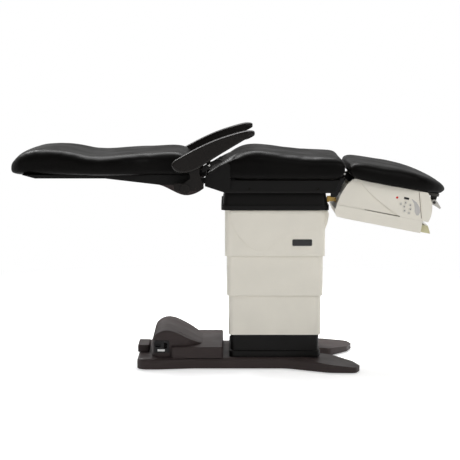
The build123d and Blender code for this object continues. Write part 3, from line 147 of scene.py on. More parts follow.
# Stations of one arm's top: place along X, underside and top, all from the arm's hinge.
ARM_TOP_STATIONS = [
    (-57.0, 96.0, 104.0),
    (-52.0, 102.0, 112.0),
    (-42.0, 110.0, 120.0),
    (-26.0, 119.5, 129.5),
    (-4.0, 131.5, 141.5),
    (24.0, 146.5, 156.5),
    (52.0, 160.8, 170.8),
    (88.0, 178.0, 188.0),
    (122.0, 192.5, 202.8),
    (157.0, 204.5, 215.6),
    (190.0, 213.0, 226.0),
    (222.0, 214.0, 235.5),
    (245.0, 207.5, 241.5),
    (255.0, 206.5, 243.2),
    (268.0, 212.0, 244.6),
    (279.0, 217.5, 244.0),
    (287.0, 222.5, 241.8),
    (291.5, 226.5, 238.5),
]
# The tops stand this far from the chair's middle, and narrow evenly past these two places.
ARM_INNER = 290.0
ARM_HALF_WIDTH = 30.0
ARM_SIDE_GAP = 0.6
ARM_TIP_START = 262.0
ARM_TIP_TAPER = 0.22
ARM_HEEL_START = -30.0
ARM_HEEL_TAPER = 0.3
ARM_TOP_ROUND = 7.5
ARM_BASE_ROUND = 1.2

# Stations of one release lever: place along X, underside, top and half width.
LEVER_STATIONS = [
    (-110.5, 857.0, 883.5, 8.0),
    (-101.0, 860.5, 888.0, 9.0),
    (-86.0, 869.0, 897.5, 9.2),
    (-63.0, 888.0, 908.5, 9.2),
    (-49.0, 896.5, 912.5, 9.0),
    (-38.0, 899.0, 913.5, 8.6),
    (-29.0, 901.0, 911.5, 7.8),
    (-24.0, 903.5, 909.0, 6.0),
]
LEVER_TOP_ROUND = 5.0
LEVER_BASE_ROUND = 4.0
# The bright pin on a lever's outer side, seated just inside its face.
PIN_X = -79.0
PIN_Z = 890.0
PIN_SEAT = 8.6
PIN_RADIUS = 4.2
PIN_LENGTH = 2.0
PIN_RIM = 1.2
PIN_CROWN = 0.8

# The blank label under the mains inlet, placed from the inlet panel's corner.
LABEL_LEFT = 15.0
LABEL_RIGHT = 46.0
LABEL_RISE = 5.0
LABEL_HEIGHT = 9.0
LABEL_THICKNESS = 0.35
LABEL_CORNER = 1.2

# The raised arrow on each key.
KEY_COUNT = 7
MARK_RADIUS = 3.6
MARK_CORNER = 0.8
MARK_THICKNESS = 0.25

# Outlines of the thin film crescent and the end cap's seam on the leg housing, as points in X and Z.
FILM_THICKNESS = 0.25
FILM_PROUD = 0.1
CRESCENT_INNER = [(777.5, 737.5), (788.0, 719.0), (790.5, 700.0), (790.0, 684.0), (797.0, 670.0)]
CRESCENT_OUTER = [(779.5, 738.5), (799.0, 724.0), (811.0, 704.0), (815.0, 684.0), (806.0, 668.5)]
SEAM_LINE = [(807.1, 767.5), (810.0, 740.0), (813.0, 710.0), (816.0, 680.0), (818.4, 656.0)]
SEAM_WIDTH = 2.4

# The dark shields at the knee hinge, and the Y that each one is extruded from, towards -Y.
SHIELD_REAR = [(440.0, 826.0), (437.0, 800.0), (435.0, 772.0), (434.0, 746.0)]
SHIELD_FRONT = [(498.0, 826.0), (484.0, 800.0), (472.0, 772.0), (462.0, 746.0)]
SHIELD_FACE = {"right": -224.5, "left": 227.5}
SHIELD_THICKNESS = 3.0

# Cloth settings of an upholstery cover on its foam.
COVER_CLOTH = {
    "quality": 4,
    "mass": 0.4,
    "tension_stiffness": 25.0,
    "compression_stiffness": 25.0,
    "bending_stiffness": 4.0,
    "use_pressure": True,
}
COVER_FRAMES = 20


# Properties


class ChairSizes(bpy.types.PropertyGroup):
    """Sizes of the soft pieces."""
    skin_mesh: bpy.props.FloatProperty(
        name="Skin mesh", description="Edge length of the upholstery mesh",
        default=0.009, min=0.004, max=0.02, unit="LENGTH")
    seat_crown: bpy.props.FloatProperty(
        name="Seat crown", description="How far the seat foam may swell",
        default=0.006, min=0.0, max=0.03, unit="LENGTH")
    back_crown: bpy.props.FloatProperty(
        name="Back crown", description="How far the back foam may swell",
        default=0.006, min=0.0, max=0.03, unit="LENGTH")
    leg_crown: bpy.props.FloatProperty(
        name="Leg pad crown", description="How far the leg pad foam may swell",
        default=0.004, min=0.0, max=0.03, unit="LENGTH")
    foam_pressure: bpy.props.FloatProperty(
        name="Foam pressure", description="Outward pressure of the foam on its cover",
        default=3.0, min=0.0, max=10.0)
    top_round: bpy.props.FloatProperty(
        name="Top edge radius", description="Radius of the upper cushion edges",
        default=0.034, min=0.005, max=0.05, unit="LENGTH")
    base_round: bpy.props.FloatProperty(
        name="Base edge radius", description="Radius of the lower cushion edges",
        default=0.014, min=0.003, max=0.04, unit="LENGTH")


class ChairColours(bpy.types.PropertyGroup):
    """Colours of the finishes, as sRGB hex text."""
    vinyl: bpy.props.StringProperty(
        name="Vinyl", description="Upholstery colour", default="#0B0A09")
    cover: bpy.props.StringProperty(
        name="Covers", description="Colour of the column and leg covers", default="#E2DDD0")
    base: bpy.props.StringProperty(
        name="Base", description="Colour of the base mouldings", default="#3A3231")
    arms: bpy.props.StringProperty(
        name="Arms", description="Colour of the armrests", default="#171412")
    plated: bpy.props.StringProperty(
        name="Plated bracket", description="Colour of the plated bracket", default="#B8995A")
    lamp: bpy.props.StringProperty(
        name="Lamp", description="Colour of the status lamp", default="#C8201A")


class ChairStage(bpy.types.PropertyGroup):
    """Camera and light of the studio stage."""
    camera_x: bpy.props.FloatProperty(
        name="Camera X", description="Camera place along the chair",
        default=0.0079, unit="LENGTH")
    camera_distance: bpy.props.FloatProperty(
        name="Camera distance", description="Distance from the chair's centre plane",
        default=7.073, min=1.0, unit="LENGTH")
    camera_height: bpy.props.FloatProperty(
        name="Camera height", description="Height above the floor",
        default=1.4157, unit="LENGTH")
    camera_tilt: bpy.props.FloatProperty(
        name="Camera tilt", description="Downward tilt",
        default=math.radians(6.746), subtype="ANGLE", unit="ROTATION")
    camera_lens: bpy.props.FloatProperty(
        name="Focal length", description="Focal length on a 36 mm sensor, in millimetres",
        default=127.0, min=10.0)
    floor_lift: bpy.props.FloatProperty(
        name="Floor lift", description="Light the floor gives off towards the camera",
        default=0.5, min=0.0, max=1.0)
    front_level: bpy.props.FloatProperty(
        name="Front level",
        description="Brightness of the studio on the camera's side, as reflections see it",
        default=0.15, min=0.0, max=1.0)
    fill_level: bpy.props.FloatProperty(
        name="Even fill", description="Strength of the even light from all around",
        default=0.42, min=0.0)
    key_power: bpy.props.FloatProperty(
        name="Key light", description="Power of the overhead light",
        default=190.0, min=0.0, subtype="POWER", unit="POWER")
    rim_power: bpy.props.FloatProperty(
        name="Rim light", description="Power of the light behind the head end",
        default=80.0, min=0.0, subtype="POWER", unit="POWER")
    fill_power: bpy.props.FloatProperty(
        name="Fill light", description="Power of the front light",
        default=60.0, min=0.0, subtype="POWER", unit="POWER")


# Shared modelling steps


# Segments of a section's rounded corners, and the share of its height that its lower corners lie in.
TOP_SEGMENTS = 7
BASE_SEGMENTS = 5
BASE_SHARE = 0.12
# Shading breaks at edges sharper than these, in degrees: on soft and cast pieces, and on thin plates.
SOFT_ANGLE = 50.0
PLATE_ANGLE = 40.0


def leave_edit():
    """Goes back to object mode if a mesh is still open."""
    if bpy.context.object is not None and bpy.context.object.mode != "OBJECT":
        bpy.ops.object.mode_set(mode="OBJECT")


def only(obj):
    """Makes one object the sole selected and active one."""
    leave_edit()
    bpy.ops.object.select_all(action="DESELECT")
    obj.select_set(True)
    bpy.context.view_layer.objects.active = obj


def start(name, primitive, **settings):
    """Adds a primitive at its place and opens it in edit mode, selected all over."""
    leave_edit()
    bpy.ops.object.select_all(action="DESELECT")
    primitive(**settings)
    obj = bpy.context.object
    obj.name = name
    bpy.ops.object.transform_apply(location=True, rotation=True, scale=True)
    bpy.ops.object.mode_set(mode="EDIT")
    bpy.ops.mesh.select_all(action="SELECT")
    return obj


def extrude(x, y, z):
    """Extrudes the selected faces by a step."""
    bpy.ops.mesh.extrude_region_move(TRANSFORM_OT_translate={"value": (x, y, z)})


def close():
    """Turns the open mesh's faces outwards and leaves edit mode."""
    bpy.ops.mesh.select_all(action="SELECT")
    bpy.ops.mesh.normals_make_consistent(inside=False)
    bpy.ops.object.mode_set(mode="OBJECT")


def round_corners(obj, radius, segments, test):
    """Rounds the corners of an open flat mesh whose place passes the test."""
    bpy.ops.mesh.select_all(action="DESELECT")
    bpy.ops.object.mode_set(mode="OBJECT")
    for vertex in obj.data.vertices:
        vertex.select = test(vertex.co)
    bpy.ops.object.mode_set(mode="EDIT")
    bpy.ops.mesh.select_mode(type="VERT")
    bpy.ops.mesh.bevel(affect="VERTICES", offset=radius, segments=segments)


def section(name, station, y, top_round, low_round):
    """A standing rounded section, left in edit mode and selected."""
    x, low, high, half = station
    centre = (x, y, (low + high) / 2)
    obj = start(name, bpy.ops.mesh.primitive_plane_add, size=1.0, location=centre,
                rotation=(0.0, UPRIGHT, 0.0))
    bpy.ops.transform.resize(value=(1.0, half * 2, high - low), center_override=centre)
    round_corners(obj, top_round, TOP_SEGMENTS, lambda co: co.z > centre[2])
    level = low + (high - low) * BASE_SHARE
    round_corners(obj, low_round, BASE_SEGMENTS,
                  lambda co: co.z < level and abs(abs(co.y - y) - half) < 1e-5)
    bpy.ops.mesh.select_all(action="SELECT")
    return obj


def height(station):
    """The middle height of a station."""
    return (station[1] + station[2]) / 2


def resize(last, step, y):
    """Scales the selected section from the last station's size to this one's."""
    wide = step[3] / last[3]
    tall = (step[2] - step[1]) / (last[2] - last[1])
    bpy.ops.transform.resize(value=(1.0, wide, tall), center_override=(step[0], y, height(step)))


def loft(name, stations, y, top_round, low_round):
    """A closed body extruded from section to section along X, rounded at its tallest one."""
    first = stations[0]
    tallest = (first[0],) + max(stations, key=lambda station: station[2] - station[1])[1:]
    obj = section(name, tallest, y, top_round, low_round)
    bpy.ops.transform.translate(value=(0.0, 0.0, height(first) - height(tallest)))
    resize(tallest, first, y)
    for last, step in zip(stations, stations[1:]):
        extrude(step[0] - last[0], 0.0, height(step) - height(last))
        resize(last, step, y)
    bpy.ops.mesh.select_all(action="SELECT")
    bpy.ops.mesh.remove_doubles(threshold=1e-6)
    close()
    return obj


def scaled(stations):
    """The stations in metres."""
    return [tuple(value * MM for value in station) for station in stations]


def modify(obj, kind, **values):
    """Adds a modifier, sets it and applies it."""
    only(obj)
    step = obj.modifiers.new(kind.lower(), kind)
    for key, value in values.items():
        setattr(step, key, value)
    bpy.ops.object.modifier_apply(modifier=step.name)


def smooth(obj, angle):
    """Smooth shading, broken at edges sharper than an angle in degrees."""
    only(obj)
    bpy.ops.object.shade_smooth_by_angle(angle=math.radians(angle))


def swell(obj, cap, pressure):
    """Blows the cover up by the foam's pressure as cloth, and holds each point within the cap."""
    scene = bpy.context.scene
    before = [vertex.co.copy() for vertex in obj.data.vertices]
    only(obj)
    cloth = obj.modifiers.new("cloth", "CLOTH")
    for key, value in COVER_CLOTH.items():
        setattr(cloth.settings, key, value)
    cloth.settings.uniform_pressure_force = pressure
    cloth.settings.effector_weights.gravity = 0.0
    cloth.collision_settings.use_collision = False
    for number in range(1, COVER_FRAMES + 1):
        scene.frame_set(number)
    bpy.ops.object.modifier_apply(modifier=cloth.name)
    scene.frame_set(1)
    for vertex, place_before in zip(obj.data.vertices, before):
        move = vertex.co - place_before
        if move.length > cap:
            vertex.co = place_before + move * (cap / move.length)


def stuff(obj, cap, sizes):
    """Gives a pad its even skin, swells it and softens it."""
    modify(obj, "REMESH", mode="VOXEL", voxel_size=sizes.skin_mesh)
    swell(obj, cap, sizes.foam_pressure)
    modify(obj, "SMOOTH", factor=0.6, iterations=6)
    modify(obj, "SUBSURF", levels=1, render_levels=1)
    only(obj)
    bpy.ops.object.shade_smooth()


def thin_plate(name, low, high, corner):
    """A thin plate facing -Y with rounded corners and a softened front edge."""
    centre = [(a + b) / 2 for a, b in zip(low, high)]
    obj = start(name, bpy.ops.mesh.primitive_plane_add, size=1.0, location=centre,
                rotation=(UPRIGHT, 0.0, 0.0))
    bpy.ops.transform.resize(value=(high[0] - low[0], 1.0, high[2] - low[2]), center_override=centre)
    bpy.ops.transform.translate(value=(0.0, high[1] - centre[1], 0.0))
    bpy.ops.mesh.bevel(affect="VERTICES", offset=corner, segments=4)
    bpy.ops.mesh.select_all(action="SELECT")
    extrude(0.0, low[1] - high[1], 0.0)
    bpy.ops.mesh.inset(thickness=corner * 0.15, depth=corner * 0.05)
    close()
    smooth(obj, PLATE_ANGLE)
    return obj


def flat_strip(name, inner, outer, y, thickness):
    """A thin plate facing -Y between an inner and an outer line of points in X and Z."""
    mesh = bpy.data.meshes.new(name)
    rim = [(x * MM, y, z * MM) for x, z in inner + outer]
    count = len(inner)
    faces = [(i, i + 1, count + i + 1, count + i) for i in range(count - 1)]
    mesh.from_pydata(rim, [], faces)
    obj = bpy.data.objects.new(name, mesh)
    bpy.context.scene.collection.objects.link(obj)
    only(obj)
    bpy.ops.object.mode_set(mode="EDIT")
    bpy.ops.mesh.select_all(action="SELECT")
    bpy.ops.mesh.subdivide(number_cuts=3, smoothness=0.6)
    bpy.ops.mesh.select_all(action="SELECT")
    extrude(0.0, -thickness, 0.0)
    close()
    smooth(obj, PLATE_ANGLE)
    return obj


def place(obj, finish, slot, body, *nodes):
    """Gives a piece its finish, its body and the CAD nodes it stands for. The slot is not used."""
    obj.data.materials.clear()
    obj.data.materials.append(bpy.data.materials[finish])
    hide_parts(*nodes)
    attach(obj, body)


# Materials


def linear(value):
    """One sRGB channel, 0 to 255, as linear light."""
    part = value / 255.0
    return part / 12.92 if part <= 0.04045 else ((part + 0.055) / 1.055) ** 2.4


def colour(text):
    """A hex colour as linear RGB."""
    return [linear(int(text[i:i + 2], 16)) for i in (1, 3, 5)]


def add(tree, kind, links=None, settings=None, **inputs):
    """Adds one shader node with its settings, its input values and the links into it."""
    node = tree.nodes.new(kind)
    for key, value in (settings or {}).items():
        setattr(node, key, value)
    for key, value in inputs.items():
        node.inputs[key.replace("_", " ")].default_value = value
    for key, socket in (links or {}).items():
        tree.links.new(socket, node.inputs[key])
    return node


def surface(name, tint, rough, grain=0.8, depth=0.02, edge=0.8, coat=0.0, metal=0.0,
            mottle=0.05, spread=0.06, let_through=0.0, gloss=0.5, slack=0.0):
    """A finish with a fine grain and faint unevenness in its colour and gloss.

    In millimetres: grain and depth are the pitch and height of the surface's texture,
    edge is the radius that its edges seem to have, and slack is the height of soft
    waves, which a cover on foam has in place of edges.
    """
    material = bpy.data.materials.new(name)
    material.use_nodes = True
    tree = material.node_tree
    tree.nodes.clear()
    where = add(tree, "ShaderNodeTexCoord").outputs["Object"]
    fine = add(tree, "ShaderNodeTexNoise", {"Vector": where},
               Scale=1000.0 / grain, Detail=4.0, Roughness=0.55)
    broad = add(tree, "ShaderNodeTexNoise", {"Vector": where},
                Scale=9.0, Detail=3.0, Roughness=0.5).outputs["Fac"]
    shade = add(tree, "ShaderNodeValToRGB", {"Fac": broad})
    stops = shade.color_ramp.elements
    stops[0].position, stops[1].position = 0.3, 0.7
    for stop, change in zip(stops, (1.0 - mottle, 1.0 + mottle)):
        stop.color = [min(1.0, part * change) for part in colour(tint)] + [1.0]
    wear = add(tree, "ShaderNodeMapRange", {"Value": broad}, From_Min=0.3, From_Max=0.7,
               To_Min=max(0.02, rough - spread), To_Max=rough + spread)
    if slack > 0.0:
        waves = add(tree, "ShaderNodeTexNoise", {"Vector": where},
                    Scale=14.0, Detail=2.0, Roughness=0.4)
        form = add(tree, "ShaderNodeBump", {"Height": waves.outputs["Fac"]},
                   Strength=0.35, Distance=slack * MM)
    else:
        form = add(tree, "ShaderNodeBevel", settings={"samples": 4}, Radius=edge * MM)
    bump = add(tree, "ShaderNodeBump",
               {"Height": fine.outputs["Fac"], "Normal": form.outputs["Normal"]},
               Strength=0.6, Distance=depth * MM)
    body = add(tree, "ShaderNodeBsdfPrincipled",
               {"Base Color": shade.outputs["Color"], "Roughness": wear.outputs["Result"],
                "Normal": bump.outputs["Normal"]},
               Metallic=metal, Coat_Weight=coat, Coat_Roughness=0.12,
               Transmission_Weight=let_through, Specular_IOR_Level=gloss)
    if gloss < 0.3:
        # A dull dark surface would turn grey where it is seen edge on in a white studio.
        glance = add(tree, "ShaderNodeLayerWeight", Blend=0.5)
        veil = add(tree, "ShaderNodeMapRange", {"Value": glance.outputs["Facing"]},
                   From_Min=0.45, From_Max=0.92, To_Min=gloss, To_Max=0.004)
        tree.links.new(veil.outputs["Result"], body.inputs["Specular IOR Level"])
    add(tree, "ShaderNodeOutputMaterial", {"Surface": body.outputs["BSDF"]})


# The finish of each material slot of the CAD nodes.
SLOT_FINISH = {
    "upholstery_vinyl": "Vinyl, embossed",
    "cream_cover": "ABS, moulded cream",
    "base_moulding": "ABS, textured charcoal",
    "black_moulding": "ABS, textured black",
    "arm_urethane": "Urethane, skinned",
    "black_frame": "Steel, powder coated",
    "column_profile": "Aluminium, drawn",
    "bright_steel": "Steel, ground",
    "zinc_yellow": "Steel, yellow zinc",
    "panel_black": "Polycarbonate, satin black",
    "blank_plate": "Acrylic, black",
    "lamp_red": "Polycarbonate, red",
    "display_black": "Acrylic, smoked",
    "key_grey": "ABS, pale key caps",
    "board_green": "Epoxy glass board",
    "tray_clear": "PETG, vacuum formed",
    "glide_rubber": "Rubber, moulded",
    "lever_grey": "Nylon, grey",
    "board_wood": "Plywood, painted",
}


def make_finishes(colours):
    """All the materials of the chair."""
    # Calendered vinyl embossed with a 1.6 mm leather grain: near black, with a soft gloss on its waves.
    surface("Vinyl, embossed", colours.vinyl, 0.38, grain=1.6, depth=0.10,
            mottle=0.10, spread=0.05, gloss=0.06, slack=2.5)
    # ABS from a polished mould: a warm satin cream with a faint orange peel and clear rounded edges.
    surface("ABS, moulded cream", colours.cover, 0.36, grain=0.9, depth=0.012, edge=1.2,
            coat=0.12, mottle=0.025)
    # ABS from a spark eroded mould: a fine leathery texture that reads dull.
    surface("ABS, textured charcoal", colours.base, 0.46, grain=0.7, depth=0.05, edge=1.5,
            mottle=0.06, gloss=0.15)
    surface("ABS, textured black", "#0D0C0B", 0.42, grain=0.7, depth=0.05, gloss=0.15, edge=1.0)
    # Self-skinned urethane foam: smooth and a little oily, with broad highlights.
    surface("Urethane, skinned", colours.arms, 0.26, grain=2.4, edge=1.0, gloss=0.18)
    # Powder coat: an even black with the slight pebbling of melted powder.
    surface("Steel, powder coated", "#0F0E0E", 0.48, grain=0.5, depth=0.04, gloss=0.2)
    # Hot blackened steel: a dark metal that hardly shines.
    surface("Steel, blackened", "#15140F", 0.5, metal=0.6, grain=0.5, depth=0.01, gloss=0.15)
    # Drawn and ground metals: bright, with lines too fine to show except as a soft highlight.
    surface("Aluminium, drawn", "#C9CCD0", 0.30, metal=1.0, grain=0.4, depth=0.01)
    surface("Steel, ground", "#B9B8B4", 0.24, metal=1.0, grain=0.3, depth=0.01, edge=0.4)
    # Yellow passivated zinc: a brassy metal with cloudy patches.
    surface("Steel, yellow zinc", colours.plated, 0.30, metal=1.0, grain=0.6, depth=0.01,
            mottle=0.15)
    # Moulded polycarbonate and cast acrylic: smooth, from satin panel to glossy window and lamp.
    surface("Polycarbonate, satin black", "#101011", 0.34, grain=0.5, gloss=0.2)
    surface("Polycarbonate, red", colours.lamp, 0.14, depth=0.004, edge=0.3)
    surface("Acrylic, black", "#0E0E10", 0.12, depth=0.004, edge=0.4)
    surface("Acrylic, smoked", "#08080A", 0.10, depth=0.004, edge=0.2)
    # Moulded key caps: a pale matt that the printed marks stand out on.
    surface("ABS, pale key caps", "#D5D1C8", 0.44, grain=0.5, edge=0.3)
    surface("Ink, cured grey", "#3B3A3C", 0.5, grain=0.4, depth=0.004, edge=0.1)
    # Printed film and paper-white label: flat and even, and the film a little cloudy.
    surface("Polycarbonate film, grey", "#B4B1AE", 0.32, grain=1.4, edge=0.1, mottle=0.12)
    surface("Polyester label, white", "#EDEDEA", 0.35, grain=0.6, depth=0.004, edge=0.2)
    # Glass cloth board under green resist.
    surface("Epoxy glass board", "#1F6B3A", 0.40, grain=0.5, depth=0.01, edge=0.2)
    # Vacuum formed PETG: a thin pale yellow tray that lets some light through.
    surface("PETG, vacuum formed", "#E3DDB4", 0.18, grain=1.2, edge=0.6, let_through=0.35)
    # Rubber: a dead matt, black where moulded and brown where extruded.
    surface("Rubber, moulded", "#161616", 0.72, grain=0.9, depth=0.08)
    surface("Rubber, extruded brown", "#6E5A4B", 0.6, grain=0.5, depth=0.005, edge=0.1, gloss=0.2)
    # Moulded nylon: a waxy pale grey.
    surface("Nylon, grey", "#B9B6B0", 0.40, grain=0.6, depth=0.03)
    # Painted plywood: the brushed paint's tooth shows and the wood doesn't.
    surface("Plywood, painted", "#26241F", 0.60, grain=1.5, depth=0.06)


# Operators


class CHAIR_OT_finishes(bpy.types.Operator):
    """Makes the materials and gives each carried-over piece its own"""
    bl_idname = "chair.finishes"
    bl_label = "Finishes"

    def execute(self, context):
        make_finishes(context.scene.chair_colours)
        for part in frame["record"]["subparts"]:
            obj = frame["nodes"][part["node"]]
            obj.data.materials.clear()
            obj.data.materials.append(bpy.data.materials[SLOT_FINISH[part["material_slot"]]])
        frame["nodes"]["cover_screws"].data.materials[0] = bpy.data.materials["Steel, blackened"]
        return {"FINISHED"}


class CHAIR_OT_seat_pad(bpy.types.Operator):
    """Models the seat cushion with its rear wings"""
    bl_idname = "chair.seat_pad"
    bl_label = "Seat pad"

    def execute(self, context):
        sizes = context.scene.chair_sizes
        obj = loft("Seat_pad", scaled(SEAT_STATIONS), 0.0, sizes.top_round, sizes.base_round)
        wings = [
            loft("Seat_wing", scaled(WING_STATIONS), sign * WING_MIDDLE * MM,
                 WING_TOP_ROUND * MM, WING_BASE_ROUND * MM)
            for _, sign in SIDES
        ]
        only(obj)
        for wing in wings:
            wing.select_set(True)
        bpy.ops.object.join()
        stuff(obj, sizes.seat_crown, sizes)
        place(obj, "Vinyl, embossed", "upholstery_vinyl", "carriage", "seat_cushion")
        return {"FINISHED"}


class CHAIR_OT_back_pad(bpy.types.Operator):
    """Models the back cushion with its headrest"""
    bl_idname = "chair.back_pad"
    bl_label = "Back pad"

    def execute(self, context):
        sizes = context.scene.chair_sizes
        obj = loft("Back_pad", scaled(BACK_STATIONS), 0.0, sizes.top_round, sizes.base_round)
        stuff(obj, sizes.back_crown, sizes)
        place(obj, "Vinyl, embossed", "upholstery_vinyl", "back", "back_cushion")
        return {"FINISHED"}


class CHAIR_OT_leg_pad(bpy.types.Operator):
    """Models the leg cushion with its round nose"""
    bl_idname = "chair.leg_pad"
    bl_label = "Leg pad"

    def execute(self, context):
        sizes = context.scene.chair_sizes
        obj = loft("Leg_pad", scaled(LEG_STATIONS), 0.0, sizes.top_round * LEG_TOP_SHARE,
                   sizes.base_round * LEG_BASE_SHARE)
        stuff(obj, sizes.leg_crown, sizes)
        x, z = LEG_PIVOT
        only(obj)
        obj.matrix_world = Matrix.Translation((x, 0.0, z)) @ Matrix.Rotation(LEG_DROOP, 4, "Y")
        bpy.ops.object.transform_apply(location=True, rotation=True, scale=True)
        place(obj, "Vinyl, embossed", "upholstery_vinyl", "leg_pad", "leg_cushion")
        return {"FINISHED"}


def arm_half_width(x):
    """Half the width of an arm's top, which narrows to its tip and its heel."""
    tip = max(0.0, x - ARM_TIP_START) * ARM_TIP_TAPER
    heel = max(0.0, ARM_HEEL_START - x) * ARM_HEEL_TAPER
    return ARM_HALF_WIDTH - ARM_SIDE_GAP - tip - heel


class CHAIR_OT_arms(bpy.types.Operator):
    """Models the soft tops of both armrests"""
    bl_idname = "chair.arms"
    bl_label = "Arms"

    def execute(self, context):
        px, pz = ARM_PIVOT
        stations = [
            (px + x * MM, pz + under * MM, pz + over * MM, arm_half_width(x) * MM)
            for x, under, over in ARM_TOP_STATIONS
        ]
        for side, sign in SIDES:
            y = sign * (ARM_INNER + ARM_HALF_WIDTH) * MM
            pad = loft("Armrest_top_" + side, stations, y, ARM_TOP_ROUND * MM, ARM_BASE_ROUND * MM)
            modify(pad, "SUBSURF", levels=1, render_levels=1)
            smooth(pad, SOFT_ANGLE)
            place(pad, "Urethane, skinned", "arm_urethane", "arm_" + side, "arm_pad_" + side)
        return {"FINISHED"}


class CHAIR_OT_levers(bpy.types.Operator):
    """Models the release lever under each arm and its bright pin"""
    bl_idname = "chair.levers"
    bl_label = "Release levers"

    def execute(self, context):
        for side, sign in SIDES:
            low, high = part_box("arm_lever_" + side)
            y = (low[1] + high[1]) / 2
            lever = loft("Release_lever_" + side, scaled(LEVER_STATIONS), y,
                         LEVER_TOP_ROUND * MM, LEVER_BASE_ROUND * MM)
            modify(lever, "SUBSURF", levels=1, render_levels=1)
            smooth(lever, SOFT_ANGLE)
            place(lever, "ABS, textured black", "black_moulding", "release_" + side,
                  "arm_lever_" + side)
            spot = (PIN_X * MM, y + sign * PIN_SEAT * MM, PIN_Z * MM)
            pin = start("Lever_pin_" + side, bpy.ops.mesh.primitive_circle_add, vertices=24,
                        radius=PIN_RADIUS * MM, fill_type="NGON", location=spot,
                        rotation=(UPRIGHT, 0.0, 0.0))
            extrude(0.0, sign * PIN_LENGTH * MM, 0.0)
            bpy.ops.mesh.inset(thickness=PIN_RIM * MM, depth=PIN_CROWN * MM)
            close()
            smooth(pin, SOFT_ANGLE)
            place(pin, "Steel, ground", "bright_steel", "release_" + side)
        return {"FINISHED"}


class CHAIR_OT_label(bpy.types.Operator):
    """Adds the blank label under the mains inlet"""
    bl_idname = "chair.label"
    bl_label = "Blank label"

    def execute(self, context):
        low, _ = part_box("inlet_panel")
        base = low[2] + LABEL_RISE * MM
        left = (low[0] + LABEL_LEFT * MM, low[1] - LABEL_THICKNESS * MM, base)
        right = (low[0] + LABEL_RIGHT * MM, low[1], base + LABEL_HEIGHT * MM)
        obj = thin_plate("Inlet_label", left, right, LABEL_CORNER * MM)
        place(obj, "Polyester label, white", "key_grey", "base")
        return {"FINISHED"}


class CHAIR_OT_key_marks(bpy.types.Operator):
    """Adds a plain raised arrow to each key"""
    bl_idname = "chair.key_marks"
    bl_label = "Key marks"

    def execute(self, context):
        for number in range(1, KEY_COUNT + 1):
            low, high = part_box("key_%d" % number)
            spot = ((low[0] + high[0]) / 2, low[1], (low[2] + high[2]) / 2)
            # Each arrow points 60 degrees further round than the one before.
            turn = math.radians(60.0 * number)
            mark = start("Key_mark_%d" % number, bpy.ops.mesh.primitive_circle_add, vertices=3,
                         radius=MARK_RADIUS * MM, fill_type="NGON", location=spot,
                         rotation=(UPRIGHT, turn, 0.0))
            bpy.ops.mesh.bevel(affect="VERTICES", offset=MARK_CORNER * MM, segments=3)
            bpy.ops.mesh.select_all(action="SELECT")
            extrude(0.0, -MARK_THICKNESS * MM, 0.0)
            close()
            place(mark, "Ink, cured grey", "panel_black", "key_body_%d" % number)
        return {"FINISHED"}


class CHAIR_OT_key_trim(bpy.types.Operator):
    """Adds the crescent beside the keys, the end cap's seam and the shields at the knee hinge"""
    bl_idname = "chair.key_trim"
    bl_label = "Key trim"

    def execute(self, context):
        low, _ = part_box("leg_housing")
        face = low[1] - FILM_PROUD * MM
        crescent = flat_strip("Key_crescent", CRESCENT_INNER, CRESCENT_OUTER, face,
                              FILM_THICKNESS * MM)
        place(crescent, "Polycarbonate film, grey", "key_grey", "leg")
        seam_front = [(x + SEAM_WIDTH, z) for x, z in SEAM_LINE]
        seam = flat_strip("Cap_seam", SEAM_LINE, seam_front, face, FILM_THICKNESS * MM)
        place(seam, "Rubber, extruded brown", "glide_rubber", "leg")
        for side, y in SHIELD_FACE.items():
            shield = flat_strip("Knee_shield_" + side, SHIELD_REAR, SHIELD_FRONT, y * MM,
                                SHIELD_THICKNESS * MM)
            place(shield, "Steel, powder coated", "black_frame", "carriage")
        return {"FINISHED"}


# Stage


# In metres: the floor's side, and where its shadowed middle ends and its even white begins.
FLOOR_SIZE = 40.0
FLOOR_NEAR = 1.2
FLOOR_FAR = 3.0
SENSOR_WIDTH = 36.0


def area_light(name, size, power, location, target):
    """A soft rectangular light that looks at a point."""
    bpy.ops.object.light_add(type="AREA", location=location)
    lamp = bpy.context.object
    lamp.name = name
    lamp.data.shape = "RECTANGLE"
    lamp.data.size, lamp.data.size_y = size
    lamp.data.energy = power
    lamp.rotation_euler = (Vector(target) - Vector(location)).to_track_quat("-Z", "Y").to_euler()


def background_rays(tree):
    """One value that is 1 for the rays that see the background: camera, glossy and transmission."""
    path = add(tree, "ShaderNodeLightPath")
    value = path.outputs["Is Camera Ray"]
    for name in ("Is Glossy Ray", "Is Transmission Ray"):
        either = add(tree, "ShaderNodeMath", {0: value, 1: path.outputs[name]},
                     {"operation": "MAXIMUM"})
        value = either.outputs["Value"]
    return value


def white_surround(world, front_level, fill_level):
    """A world that is white behind the chair, dim on the camera's side, and an even fill light."""
    world.use_nodes = True
    tree = world.node_tree
    tree.nodes.clear()
    where = add(tree, "ShaderNodeTexCoord").outputs["Generated"]
    split = add(tree, "ShaderNodeSeparateXYZ", {"Vector": where})
    depth = add(tree, "ShaderNodeMapRange", {"Value": split.outputs["Y"]},
                From_Min=-0.35, From_Max=0.25, To_Min=front_level, To_Max=1.0)
    seen = add(tree, "ShaderNodeBackground", {"Strength": depth.outputs["Result"]},
               Color=(1.0, 1.0, 1.0, 1.0))
    rest = add(tree, "ShaderNodeBackground", Color=(0.97, 0.98, 1.0, 1.0), Strength=fill_level)
    mix = add(tree, "ShaderNodeMixShader",
              {"Fac": background_rays(tree), 1: rest.outputs["Background"],
               2: seen.outputs["Background"]})
    add(tree, "ShaderNodeOutputWorld", {"Surface": mix.outputs["Shader"]})


